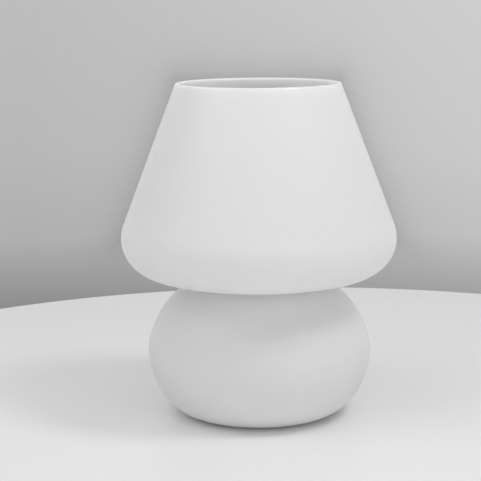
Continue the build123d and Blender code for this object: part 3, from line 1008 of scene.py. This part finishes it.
@dataclass
class GlassBody:
    """Shade, neck and base, blown in one piece. Sizes in millimetres."""

    height: float = 240.0
    rim: float = 59.0
    shade: float = 99.5
    shoulder: float = 27.0
    neck: float = 50.3
    fold: float = 4.0
    base: float = 81.0
    belly_height: float = 47.0
    belly_upper: float = 30.0
    belly_turn: float = 11.5
    dome: float = 65.7
    belly_lower: float = 55.5
    heel: float = 26.0
    punt: float = 35.0
    punt_depth: float = 1.0
    wall: float = 3.2
    rim_round: float = 1.4
    pad_height: float = 0.7
    hole_radius: float = 5.0
    hole_turn: float = 22.0
    straight_runs: int = 12
    steps: int = 192

    lower: Point = field(init=False)
    upper: Point = field(init=False)
    dome_middle: Point = field(init=False)
    heel_middle: Point = field(init=False)
    fold_middle: Point = field(init=False)
    shoulder_middle: Point = field(init=False)
    heel_turn: float = field(init=False)
    dome_end: float = field(init=False)
    lean: float = field(init=False)

    def __post_init__(self) -> None:
        """Works out where the arcs of the outline run into each other."""
        self.lower = (self.base - self.belly_lower, self.belly_height)
        self.heel_turn = math.asin(
            (self.belly_height - self.pad_height - self.heel) / (self.belly_lower - self.heel)
        )
        self.heel_middle = (
            self.lower[0] + (self.belly_lower - self.heel) * math.cos(self.heel_turn),
            self.pad_height + self.heel,
        )
        self.upper = (self.base - self.belly_upper, self.belly_height)
        turn = math.radians(self.belly_turn)
        self.dome_middle = (
            self.upper[0] - (self.dome - self.belly_upper) * math.cos(turn),
            self.upper[1] - (self.dome - self.belly_upper) * math.sin(turn),
        )
        across = self.neck + self.fold - self.dome_middle[0]
        rise = math.sqrt((self.dome + self.fold) ** 2 - across**2)
        self.fold_middle = (self.neck + self.fold, self.dome_middle[1] + rise)
        self.dome_end = math.atan2(rise, across)
        self.shoulder_middle = (self.shade - self.shoulder, self.fold_middle[1] + self.fold + self.shoulder)
        reach = (self.rim - self.shoulder_middle[0], self.height - self.shoulder_middle[1])
        self.lean = math.atan2(reach[1], reach[0]) - math.acos(self.shoulder / math.hypot(*reach))

    def side(self, inset: float) -> list[Point]:
        """The outline from heel to rim.

        Args:
            inset: how far it is moved in from the outside.

        Returns:
            The outline's points.
        """
        heel, dome = math.degrees(self.heel_turn), math.degrees(self.dome_end)
        points = arc(self.heel_middle, self.heel - inset, -90, 90 - heel)
        points += arc(self.lower, self.belly_lower - inset, -heel, heel, 2.5)[1:]
        points += arc(self.upper, self.belly_upper - inset, 0, self.belly_turn)[1:]
        points += arc(self.dome_middle, self.dome - inset, self.belly_turn, dome - self.belly_turn, 2.0)[1:]
        points += arc(self.fold_middle, self.fold + inset, 180 + dome, -90 - dome, 8.0)[1:]
        points += arc(self.shoulder_middle, self.shoulder - inset, -90, 90 + math.degrees(self.lean), 3.0)
        top = (self.rim - inset / math.cos(self.lean), self.height)
        foot, runs = points[-1], self.straight_runs
        for run in range(1, runs + 1):
            points.append((foot[0] + (top[0] - foot[0]) * run / runs, foot[1] + (top[1] - foot[1]) * run / runs))
        return points

    def outline(self) -> list[Point]:
        """The whole wall's outline, from the punt round the rim to the floor inside.

        Returns:
            The outline's points.
        """
        sphere = (self.punt**2 + self.punt_depth**2) / (2 * self.punt_depth)
        turn = math.degrees(math.asin(self.punt / sphere))
        punt_middle = (0.0, self.pad_height + self.punt_depth - sphere)
        corners = [(r, z, 0.0) for r, z in arc(punt_middle, sphere, 90, -turn, 0.5)]
        corners += [(r, z, 0.0) for r, z in self.side(0.0)[:-1]]
        corners += [(self.rim, self.height, self.rim_round)]
        inside = self.side(self.wall)
        corners += [(inside[-1][0], self.height, self.rim_round)]
        corners += [(r, z, 0.0) for r, z in reversed(inside[:-1])]
        corners += [(0.0, self.pad_height + self.wall, 0.0)]
        return rounded(corners, steps=6, closed=False)

    def drill(self, glass: bpy.types.Object) -> None:
        """Drills the lead's hole, square to the glass at the back.

        Args:
            glass: the blown glass, whose mesh is changed.
        """
        turn = math.radians(self.hole_turn)
        middle = self.belly_lower - self.wall / 2
        at = Vector((0, self.lower[0] + middle * math.cos(turn), self.lower[1] - middle * math.sin(turn))) * MM
        aim = Vector((0, math.cos(turn), -math.sin(turn))).to_track_quat("Z", "Y").to_matrix().to_4x4()
        bm = bmesh.new()
        bmesh.ops.create_cone(
            bm,
            cap_ends=True,
            segments=64,
            radius1=self.hole_radius * MM,
            radius2=self.hole_radius * MM,
            depth=4 * self.wall * MM,
            matrix=Matrix.Translation(at) @ aim,
        )
        bit = new_piece("drill", bm)
        cut = glass.modifiers.new("hole", "BOOLEAN")
        cut.operation = "DIFFERENCE"
        cut.solver = "EXACT"
        cut.object = bit
        drilled = bpy.data.meshes.new_from_object(glass.evaluated_get(bpy.context.evaluated_depsgraph_get()))
        glass.modifiers.clear()
        glass.data = drilled
        drilled.set_sharp_from_angle(angle=math.radians(SMOOTH))
        bpy.data.objects.remove(bit)

    def build(self) -> None:
        """Blows the glass, drills it and dresses it."""
        glass = lathe("glass_body_blown", self.outline(), steps=self.steps, closed=False)
        self.drill(glass)
        dress(glass, Body.STAND, OPAL, ["glass_body"])


@dataclass
class SoftParts:
    """Feet, grommet, and the soft caps and sleeves between spider and glass. Sizes in millimetres."""

    pad_radius: float = 4.5
    pad_height: float = 0.7
    pad_edge: float = 0.25
    pad_ring: float = 40.952
    pads: int = 4
    rounding: float = 0.3
    grommet_rounding: float = 0.12

    def feet(self) -> None:
        """Four turned pads, rounded where they meet the table and dished a little."""
        outline = rounded(
            [
                (0.0, 0.12, 0.0),
                (self.pad_radius - 1.6, 0.06, 0.2),
                (self.pad_radius - 1.2, 0.0, 0.2),
                (self.pad_radius, 0.0, self.pad_edge),
                (self.pad_radius, self.pad_height, 0.15),
                (0.0, self.pad_height, 0.0),
            ],
            closed=False,
        )
        bm = bmesh.new()
        for number in range(self.pads):
            turn = math.tau * (number + 0.5) / self.pads
            spin(bm, outline, 48, False, (self.pad_ring * math.cos(turn), self.pad_ring * math.sin(turn)))
        close_up(bm)
        dress(new_piece("foot_pads_moulded", bm), Body.STAND, SILICONE, ["foot_pads"])

    def build(self) -> None:
        """Makes the feet and rounds the fitted parts."""
        self.feet()
        names = ["lead_grommet"] + [f"{kind}_{n}" for kind in ("arm_cap", "spring_sleeve") for n in (1, 2, 3)]
        for name in names:
            width = self.grommet_rounding if name == "lead_grommet" else self.rounding
            dress(softened(name, width), Body.STAND, SILICONE, [name])


@dataclass
class Spider:
    """The sprung plate that holds the lampholder in the neck. Sizes in millimetres."""

    bottom: float = 106.3275
    thickness: float = 1.2
    spring: float = 0.5
    rivet_rows: tuple[float, ...] = (28.0, 36.0)
    first_arm: float = 30.0
    shank: float = 1.5
    head: float = 2.6
    head_height: float = 0.9
    plate_rounding: float = 0.15
    spring_rounding: float = 0.08

    def rivets(self) -> None:
        """Domed heads above, upset heads with a dimple below."""
        top, low = self.bottom + self.thickness, self.bottom - self.spring
        outline = rounded(
            [
                (0.0, low - self.head_height + 0.25, 0.0),
                (0.7, low - self.head_height + 0.2, 0.1),
                (1.0, low - self.head_height, 0.15),
                (self.head, low - self.head_height, 0.4),
                (self.head, low, 0.05),
                (self.shank, low, 0.0),
                (self.shank, top, 0.0),
                (self.head, top, 0.05),
                (self.head, top + 0.25, 0.15),
                (0.8 * self.head, top + 0.65 * self.head_height, 0.8),
                (0.35 * self.head, top + self.head_height, 1.0),
                (0.0, top + self.head_height, 0.0),
            ],
            closed=False,
        )
        bm = bmesh.new()
        for arm in range(3):
            turn = math.radians(self.first_arm + 120 * arm)
            for row in self.rivet_rows:
                spin(bm, outline, 32, False, (row * math.cos(turn), row * math.sin(turn)))
        close_up(bm)
        dress(new_piece("spider_rivets_set", bm), Body.STAND, RIVET, ["spider_rivets"])

    def build(self) -> None:
        """Makes the plate, its springs and its rivets."""
        dress(softened("spider_plate", self.plate_rounding), Body.STAND, ZINC, ["spider_plate"])
        for number in (1, 2, 3):
            name = f"snap_spring_{number}"
            dress(softened(name, self.spring_rounding), Body.STAND, SPRING, [name])
        self.rivets()


# ------------------------------------------------------------------------------ lampholder


@dataclass
class RolledThread:
    """The rolled screw of cap and holder, in millimetres. Its crests face +X at these heights."""

    pitch: float = 2.822
    crest: float = 96.4275
    cap_mean: float = 6.535
    cap_swing: float = 0.385
    cap_sheet: float = 0.3
    shell_mean: float = 7.2
    shell_swing: float = 0.35
    shell_sheet: float = 0.4


@dataclass
class Lampholder:
    """The holder, from its rim down to the lead's gland. Sizes in millimetres."""

    thread: RolledThread
    radius: float = 14.0
    bore: float = 11.6
    upper_bore: float = 9.35
    lip_bore: float = 9.0
    rim: float = 117.8275
    lip: float = 3.0
    core_top: float = 86.8275
    core_bottom: float = 78.8275
    skirt_bottom: float = 74.8275
    straight_bottom: float = 62.8275
    dome_bottom: float = 54.8275
    socket_bottom: float = 47.8275
    socket_bore: float = 5.0
    socket_radius: float = 8.5
    ridge_root: float = 13.5
    ridge_crest: float = 13.97
    ridge_pitch: float = 2.0
    shell_low: float = 94.2275
    shell_high: float = 109.2275

    def skirt(self) -> None:
        """The outer skirt, with a moulded thread for the ring nuts."""
        root, low, high = self.ridge_root, self.skirt_bottom + 3.0, self.rim - 2.0
        outline = rounded(
            [
                (self.bore, self.skirt_bottom, 0.2),
                (self.radius, self.skirt_bottom, 0.3),
                (self.radius, low - 0.6, 0.2),
                (root, low, 0.1),
                (root, high, 0.1),
                (self.radius - 0.1, high + 0.5, 0.2),
                (self.radius - 0.1, self.rim - 0.5, 0.2),
                (self.radius - 0.6, self.rim, 0.2),
                (self.lip_bore + 0.6, self.rim, 0.2),
                (self.lip_bore, self.rim - 0.6, 0.2),
                (self.lip_bore, self.rim - self.lip, 0.15),
                (self.upper_bore, self.rim - self.lip, 0.0),
                (self.upper_bore, self.core_top, 0.0),
                (self.bore, self.core_top, 0.0),
            ]
        )
        bm = bmesh.new()
        spin(bm, outline)
        ridge(bm, root, self.ridge_crest, self.ridge_pitch, low + 0.2, high, 0.7)
        close_up(bm)
        dress(new_piece("holder_skirt_threaded", bm), Body.STAND, PLASTIC, ["holder_skirt"])

    def dome(self) -> None:
        """The cover over the wiring, with a shoulder and a seam line where it screws to the skirt."""
        outer, spigot, wall = self.radius, self.bore - 0.1, 1.5
        outline = rounded(
            [
                (spigot, self.core_bottom, 0.2),
                (spigot, self.skirt_bottom, 0.0),
                (outer, self.skirt_bottom, 0.35),
                (outer, self.straight_bottom, 3.0),
                (self.socket_radius, self.dome_bottom, 1.5),
                (self.socket_radius, self.socket_bottom, 0.5),
                (self.socket_bore, self.socket_bottom, 0.2),
                (self.socket_bore, self.dome_bottom + 2.2, 0.2),
                (outer - 4.4, self.straight_bottom + 2.2, 1.5),
                (outer - 2.2, self.skirt_bottom - wall, 0.2),
                (spigot - wall, self.skirt_bottom, 0.1),
                (spigot - wall, self.core_bottom, 0.2),
            ]
        )
        dress(lathe("holder_dome_moulded", outline), Body.STAND, PLASTIC, ["holder_dome"])

    def shell(self) -> None:
        """The rolled brass screw that the bulb's cap turns in."""
        t = self.thread
        low, high = self.shell_low + 0.6, self.shell_high - 0.9
        bm = bmesh.new()
        rolled_sheet(bm, t.shell_mean, t.shell_swing, t.pitch, t.crest, low, high, t.shell_sheet)
        for low, high in ((self.shell_low, self.shell_low + 0.9), (self.shell_high - 1.2, self.shell_high)):
            band = [(7.15, low, 0.08), (7.55, low, 0.08), (7.55, high, 0.08), (7.15, high, 0.08)]
            spin(bm, rounded(band))
        close_up(bm)
        dress(new_piece("screw_shell_rolled", bm), Body.STAND, BRASS, ["screw_shell"])

    def build(self) -> None:
        """Makes the holder's pieces."""
        self.skirt()
        self.dome()
        self.shell()
        moulded = {"ring_nut_upper": 0.3, "ring_nut_lower": 0.3, "lead_gland": 0.3, "gland_screw": 0.12}
        for name, width in moulded.items():
            dress(softened(name, width), Body.STAND, PLASTIC, [name])
        dress(softened("holder_core", 0.25), Body.STAND, PORCELAIN, ["holder_core"])
        for name in ("live_terminal", "neutral_terminal"):
            dress(softened(name, 0.2), Body.STAND, BRASS, [name])
        dress(softened("terminal_screws", 0.1), Body.STAND, ZINC, ["terminal_screws"])
        for name in ("centre_contact", "side_contact"):
            dress(softened(name, 0.08), Body.STAND, BRASS, [name])


# ------------------------------------------------------------------------------ bulb


@dataclass
class Bulb:
    """The screw-in bulb, up from its tip. Sizes in millimetres."""

    thread: RolledThread
    tip: float = 90.8275
    tip_radius: float = 2.4
    cap_low: float = 95.0275
    cap_high: float = 111.8275
    cap_bore: float = 5.85
    insulator_top: float = 97.0275
    collar_radius: float = 8.3
    collar_top: float = 118.3275
    housing_top: float = 138.8275
    housing_wall: float = 1.3
    spigot_low: float = 105.8275
    seat_level: float = 135.8275
    globe_level: float = 146.3275
    globe_radius: float = 22.5
    globe_wall: float = 1.2
    lip_low: float = 136.8275
    board_top: float = 138.0275
    leds: int = 8
    led_ring: float = 11.0
    led_size: tuple[float, float, float] = (3.5, 2.8, 0.8)
    led_rim: float = 0.45
    led_slope: float = 0.12
    led_pocket: float = 0.22
    capacitor_radius: float = 2.6
    capacitor_length: float = 9.0
    choke_radius: float = 2.3
    choke_height: float = 5.0
    choke_flange: float = 0.9
    board_half: float = 0.5

    def contact(self) -> None:
        """The tip, a disc with a domed drop of solder."""
        outline = rounded(
            [
                (0.0, self.tip, 0.0),
                (1.1, self.tip + 0.03, 0.5),
                (self.tip_radius - 0.5, self.tip + 0.22, 0.3),
                (self.tip_radius, self.tip + 0.6, 0.3),
                (self.tip_radius, self.tip + 1.0, 0.1),
                (0.0, self.tip + 1.0, 0.0),
            ],
            closed=False,
        )
        tip = lathe("bulb_tip_domed", outline, steps=48, closed=False)
        dress(tip, Body.LIFT, SOLDER, ["bulb_tip_contact"])

    def insulator(self) -> None:
        """The black ring between tip and cap."""
        low = self.tip + 1.0
        outline = rounded(
            [
                (0.0, low, 0.0),
                (3.4, low, 0.3),
                (4.5, low + 1.1, 0.3),
                (4.7, low + 1.7, 0.3),
                (self.cap_bore, self.cap_low, 0.1),
                (self.cap_bore, self.insulator_top, 0.1),
                (0.0, self.insulator_top, 0.0),
            ],
            closed=False,
        )
        ring = lathe("bulb_insulator_moulded", outline, steps=64, closed=False)
        dress(ring, Body.BULB, BLACK_GLASS, ["bulb_insulator"])

    def cap(self) -> None:
        """The rolled nickel-plated screw, crimped at both ends."""
        t = self.thread
        low, high, bore = self.cap_low, self.cap_high, self.cap_bore
        bm = bmesh.new()
        rolled_sheet(bm, t.cap_mean, t.cap_swing, t.pitch, t.crest, low + 0.7, high - 1.2, t.cap_sheet)
        bottom = [(bore, low, 0.1), (bore + 0.3, low + 0.1, 0.1), (bore + 0.35, low + 1.1, 0.1), (bore, low + 1.1, 0.1)]
        top = [(bore, high - 1.9, 0.1), (bore + 0.3, high - 1.9, 0.1), (bore + 0.32, high, 0.12), (bore, high, 0.05)]
        for crimp in (bottom, top):
            spin(bm, rounded(crimp))
        close_up(bm)
        dress(new_piece("bulb_cap_rolled", bm), Body.BULB, NICKEL, ["bulb_cap"])

    def globe_edge(self) -> float:
        """The globe's radius where it meets the housing."""
        return math.sqrt(self.globe_radius**2 - (self.globe_level - self.housing_top) ** 2)

    def housing(self) -> None:
        """The flared body, one arc from the collar to the globe."""
        edge, wall = self.globe_edge(), self.housing_wall
        rise, reach = self.housing_top - self.collar_top, edge - self.collar_radius
        facing = (edge / self.globe_radius, (self.housing_top - self.globe_level) / self.globe_radius)
        flare = (reach**2 + rise**2) / (2 * (reach * facing[0] + rise * facing[1]))
        middle = (edge - flare * facing[0], self.housing_top - flare * facing[1])
        high = math.degrees(math.atan2(facing[1], facing[0]))
        low = math.degrees(math.atan2(self.collar_top - middle[1], self.collar_radius - middle[0]))
        inner = flare - wall
        inner_low = -math.degrees(math.acos((self.collar_radius - wall - middle[0]) / inner))
        ledge = middle[0] + math.sqrt(inner**2 - (self.seat_level - middle[1]) ** 2)
        inner_high = math.degrees(math.atan2(self.seat_level - middle[1], ledge - middle[0]))
        corners = [(r, z, 0.0) for r, z in arc(middle, flare, low, high - low, 2.5)]
        corners += [
            (edge - wall, self.housing_top, 0.1),
            (edge - wall, self.seat_level, 0.1),
        ]
        corners += [(r, z, 0.0) for r, z in reversed(arc(middle, inner, inner_low, inner_high - inner_low, 2.5))]
        spigot = self.cap_bore - wall
        corners += [
            (self.collar_radius - wall, self.cap_high + wall, 0.3),
            (spigot, self.cap_high + wall, 0.2),
            (spigot, self.spigot_low, 0.1),
            (self.cap_bore, self.spigot_low, 0.1),
            (self.cap_bore, self.cap_high, 0.0),
            (self.collar_radius, self.cap_high, 0.5),
            (self.collar_radius, self.collar_top - 2.4, 0.1),
            (self.collar_radius - 0.12, self.collar_top - 2.3, 0.05),
            (self.collar_radius - 0.12, self.collar_top - 1.9, 0.05),
            (self.collar_radius, self.collar_top - 1.8, 0.1),
        ]
        housing = lathe("bulb_housing_moulded", rounded(corners))
        dress(housing, Body.BULB, BULB_PLASTIC, ["bulb_housing"])

    def globe(self) -> None:
        """The milky diffuser, with the lip that snaps into the housing."""
        edge = self.globe_edge()
        inner = self.globe_radius - self.globe_wall
        cut = math.degrees(math.asin((self.housing_top - self.globe_level) / self.globe_radius))
        inner_cut = math.degrees(math.asin((self.housing_top + 0.8 - self.globe_level) / inner))
        lip = edge - self.housing_wall - 0.1
        corners = [(r, z, 0.0) for r, z in arc((0, self.globe_level), inner, 90, inner_cut - 90, 3.0)]
        corners[0] = (0.0, self.globe_level + inner, 0.0)
        corners += [
            (lip - 1.0, self.housing_top + 0.8, 0.15),
            (lip - 1.0, self.lip_low, 0.15),
            (lip, self.lip_low, 0.2),
            (lip, self.housing_top, 0.05),
            (edge - 0.12, self.housing_top, 0.05),
        ]
        corners += [(r, z, 0.0) for r, z in arc((0, self.globe_level), self.globe_radius, cut + 0.6, 89.4 - cut, 3.0)]
        corners[-1] = (0.0, self.globe_level + self.globe_radius, 0.0)
        globe = lathe("bulb_globe_blown", rounded(corners, closed=False), closed=False)
        dress(globe, Body.BULB, DIFFUSER, ["bulb_globe"])

    def chips(self) -> None:
        """LEDs: white cases with a pocket of phosphor."""
        bm = bmesh.new()
        for number in range(self.leds):
            turn = Matrix.Rotation(math.tau * number / self.leds, 4, "Z")
            out = Matrix.Translation((self.led_ring * MM, 0, (self.board_top + self.led_size[2] / 2) * MM))
            size = Matrix.Diagonal((*(s * MM for s in self.led_size), 1.0))
            made = bmesh.ops.create_cube(bm, size=1.0, matrix=turn @ out @ size)
            faces = {f for v in made["verts"] for f in v.link_faces}
            top = max(faces, key=lambda f: f.calc_center_median().z)
            bmesh.ops.inset_region(bm, faces=[top], thickness=self.led_rim * MM, depth=0.0)
            bmesh.ops.inset_region(bm, faces=[top], thickness=self.led_slope * MM, depth=-self.led_pocket * MM)
            top.material_index = 1
        piece = new_piece("led_chips_packaged", bm)
        dress(piece, Body.BULB, [LED_CASE, PHOSPHOR], ["led_chips"])

    def driver(self) -> None:
        """A capacitor with its crimp and scored top, and a wound choke, on the two sides of the board."""
        low = self.collar_top
        radius, top = self.capacitor_radius, low + self.capacitor_length
        capacitor = rounded(
            [
                (0.0, low, 0.0),
                (radius, low, 0.3),
                (radius, low + 1.0, 0.1),
                (radius - 0.2, low + 1.3, 0.1),
                (radius, low + 1.6, 0.1),
                (radius, top, 0.35),
                (radius - 0.6, top, 0.1),
                (radius - 0.7, top - 0.15, 0.1),
                (0.0, top - 0.15, 0.0),
            ],
            closed=False,
        )
        drum, top, flange = self.choke_radius, low + self.choke_height, self.choke_flange
        choke = rounded(
            [
                (0.0, low, 0.0),
                (drum, low, 0.1),
                (drum, low + flange, 0.1),
                (drum - 0.5, low + flange, 0.0),
                (drum - 0.5, top - flange, 0.0),
                (drum, top - flange, 0.1),
                (drum, top, 0.1),
                (0.0, top, 0.0),
            ],
            closed=False,
        )
        gap = flange + 0.05
        winding = rounded(
            [
                (drum - 0.55, low + gap, 0.0),
                (drum - 0.25, low + gap, 0.1),
                (drum - 0.25, top - gap, 0.1),
                (drum - 0.55, top - gap, 0.0),
            ]
        )
        beside, behind = (0.0, self.board_half + radius), (0.0, -self.board_half - drum)
        bm = bmesh.new()
        turned = ((capacitor, False, beside), (choke, False, behind), (winding, True, behind))
        for number, (outline, closed, centre) in enumerate(turned):
            done = len(bm.faces)
            spin(bm, outline, 48, closed, centre)
            bm.faces.ensure_lookup_table()
            for face in bm.faces[done:]:
                face.material_index = number
        close_up(bm)
        piece = new_piece("driver_parts_wound", bm)
        dress(piece, Body.BULB, [SLEEVE, FERRITE, COPPER], ["driver_parts"])

    def build(self) -> None:
        """Makes the bulb's pieces."""
        self.contact()
        self.insulator()
        self.cap()
        self.housing()
        self.globe()
        self.chips()
        self.driver()
        dress(softened("bulb_heat_sink", 0.15), Body.BULB, ALUMINIUM, ["bulb_heat_sink"])
        dress(softened("led_board", 0.12), Body.BULB, WHITE_MASK, ["led_board"])
        dress(softened("driver_board", 0.08), Body.BULB, GREEN_MASK, ["driver_board"])
        dress_node("driver_wires", TINNED)


# ------------------------------------------------------------------------------ studio


@dataclass(frozen=True)
class Lamp:
    """A square soft light of the studio, in metres and watts."""

    name: str
    at: tuple[float, float, float]
    size: float
    power: float
    mirrored: bool = False


@dataclass
class Studio:
    """Table, surroundings, light and camera, in metres."""

    eye: tuple[float, float, float] = (0.0, -1.0, 0.3034)
    sensor: float = 36.0
    lens: float = 104.8
    down: float = 10.06
    left: float = 0.69
    roll: float = 0.39
    table_middle: Point = (0.038, -0.0545)
    table_radius: float = 0.4875
    table_edge: float = 0.003
    table_thickness: float = 0.022
    air: float = 0.42
    mirrored_air: float = 0.76
    wall: tuple[Point, ...] = ((-0.215, 0.305), (-0.170, 0.480), (-0.110, 0.532), (0.0, 0.566))
    wall_slant: float = 0.10
    wall_slant_reach: float = 0.16
    shadow_middle: Point = (0.0, -0.118)
    shadow_size: Point = (0.079, 0.058)
    shadow_taper: float = 0.354
    shadow_depth: float = 0.24
    shadow_fade: float = 0.011
    lit: tuple[float, float, float] = (0.0, 0.0, 0.08)
    lamps: tuple[Lamp, ...] = (
        Lamp("window", (0.70, -0.35, 1.30), 0.35, 5.4, mirrored=True),
        Lamp("far_window", (-0.75, -0.35, 1.15), 0.9, 3.3, mirrored=True),
        Lamp("room_right", (1.0, -1.2, 0.45), 1.0, 3.8),
        Lamp("room_left", (-1.0, -1.2, 0.45), 1.0, 2.3),
        Lamp("room_front", (0.0, -1.6, 0.30), 0.9, 2.2),
        Lamp("ceiling", (0.0, 0.0, 1.5), 1.5, 3.3),
    )

    def table(self) -> None:
        """A round table top with a softened edge."""
        r, t = self.table_radius / MM, self.table_thickness / MM
        edge = self.table_edge / MM
        outline = rounded([(0, -t, 0), (r, -t, edge), (r, 0, edge), (0, 0, 0)], steps=6, closed=False)
        bm = bmesh.new()
        spin(bm, outline, 256, False, (self.table_middle[0] / MM, self.table_middle[1] / MM))
        close_up(bm)
        top = new_piece("table_top", bm)
        top.data.materials.append(TABLE.material())

    def surroundings(self) -> None:
        """Even air for light, and a grey wall for what is seen, with painted shade: darker downwards and lighter
        towards +X.
        """
        world = bpy.data.worlds.new("room")
        world.use_nodes = True
        bpy.context.scene.world = world
        graph = Graph(world.node_tree)
        graph.tree.nodes.clear()
        direction = graph.node("ShaderNodeTexCoord").outputs["Generated"]
        parts = graph.node("ShaderNodeSeparateXYZ", Vector=direction)
        # Painted shade: the wall's grey ramps darker downwards and is lighter towards +X, standing in for how the
        # room's light falls on it.
        low, high = self.wall[0][0], self.wall[-1][0]
        ramp = graph.node("ShaderNodeValToRGB", Fac=graph.span(parts.outputs["Z"], low, high, 0.0, 1.0))
        stops = ramp.color_ramp.elements
        stops.remove(stops[1])
        for number, (rise, grey) in enumerate(self.wall):
            stop = stops.new((rise - low) / (high - low)) if number else stops[0]
            stop.color = (grey, grey, grey, 1.0)
        level = ramp.outputs[0]
        slant, reach = self.wall_slant, self.wall_slant_reach
        side = graph.span(parts.outputs["X"], -reach, reach, 1 - slant, 1 + slant)
        wall = graph.maths("MULTIPLY", graph.maths("MULTIPLY", level, side), self.shadow(graph, parts))
        colour = graph.node("ShaderNodeCombineColor", Red=wall, Green=wall, Blue=wall).outputs[0]
        seen = graph.node("ShaderNodeBackground", Color=colour, Strength=1.0)
        path = graph.node("ShaderNodeLightPath")
        strength = graph.span(path.outputs["Is Glossy Ray"], 0.0, 1.0, self.air, self.mirrored_air)
        even = graph.node("ShaderNodeBackground", Color=(1.0, 1.0, 1.0), Strength=strength)
        rays = graph.maths("MAXIMUM", path.outputs["Is Camera Ray"], path.outputs["Is Transmission Ray"])
        blend = graph.node("ShaderNodeMixShader")
        for socket, value in zip(blend.inputs, (rays, even.outputs[0], seen.outputs[0])):
            graph.feed(socket, value)
        graph.feed(graph.node("ShaderNodeOutputWorld").inputs["Surface"], blend.outputs[0])

    def shadow(self, graph: Graph, parts: bpy.types.Node) -> bpy.types.NodeSocket:
        """The soft shadow that the shade leaves on the wall behind it.

        Args:
            graph: the world's node tree.
            parts: the node that splits the direction of view into its parts.

        Returns:
            What is left of the wall's grey, as a share.
        """
        across, along, up = (parts.outputs[name] for name in "XYZ")
        width, height = self.shadow_size
        rise = graph.maths("SUBTRACT", graph.maths("DIVIDE", up, along), self.shadow_middle[1])
        edge = graph.maths("SUBTRACT", width, graph.maths("MULTIPLY", rise, self.shadow_taper))
        run = graph.maths("SUBTRACT", graph.maths("DIVIDE", across, along), self.shadow_middle[0])
        beside = graph.maths("MAXIMUM", graph.maths("SUBTRACT", graph.maths("ABSOLUTE", run), edge), 0.0)
        above = graph.maths("MAXIMUM", graph.maths("SUBTRACT", graph.maths("ABSOLUTE", rise), height), 0.0)
        square = graph.maths("ADD", graph.maths("MULTIPLY", beside, beside), graph.maths("MULTIPLY", above, above))
        far = graph.maths("DIVIDE", graph.maths("SQRT", square), -self.shadow_fade)
        return graph.maths("SUBTRACT", 1.0, graph.maths("MULTIPLY", graph.maths("EXPONENT", far), self.shadow_depth))

    def hang(self, lamp: Lamp) -> None:
        """Hangs a light that faces the lit point.

        Args:
            lamp: the light.
        """
        light = bpy.data.lights.new(lamp.name, "AREA")
        light.shape = "SQUARE"
        light.size = lamp.size
        light.energy = lamp.power
        holder = bpy.data.objects.new(lamp.name, light)
        holder.location = lamp.at
        holder.rotation_euler = (Vector(self.lit) - Vector(lamp.at)).to_track_quat("-Z", "Y").to_euler()
        holder.visible_glossy = lamp.mirrored
        bpy.context.scene.collection.objects.link(holder)

    def camera(self) -> None:
        """Stands the camera where the photograph's outline puts it."""
        data = bpy.data.cameras.new("camera")
        data.lens = self.lens
        data.sensor_width = self.sensor
        data.clip_start = 0.05
        camera = bpy.data.objects.new("camera", data)
        camera.location = self.eye
        camera.rotation_euler = (math.radians(90.0 - self.down), math.radians(self.roll), math.radians(self.left))
        bpy.context.scene.collection.objects.link(camera)
        bpy.context.scene.camera = camera

    def build(self) -> None:
        """Sets the stage."""
        self.camera()
        self.table()
        self.surroundings()
        for lamp in self.lamps:
            self.hang(lamp)
        bpy.context.scene.view_settings.view_transform = "Standard"


def main() -> None:
    """Builds the stage and the lamp in order, and logs each part as it is built."""
    logging.basicConfig(level=logging.INFO, format="%(name)s: %(message)s")
    thread = RolledThread()
    for part in (Studio(), GlassBody(), SoftParts(), Spider(), Lampholder(thread), Bulb(thread)):
        part.build()
        LOG.info("%s is built", type(part).__name__)


if __name__ == "__main__":
    main()
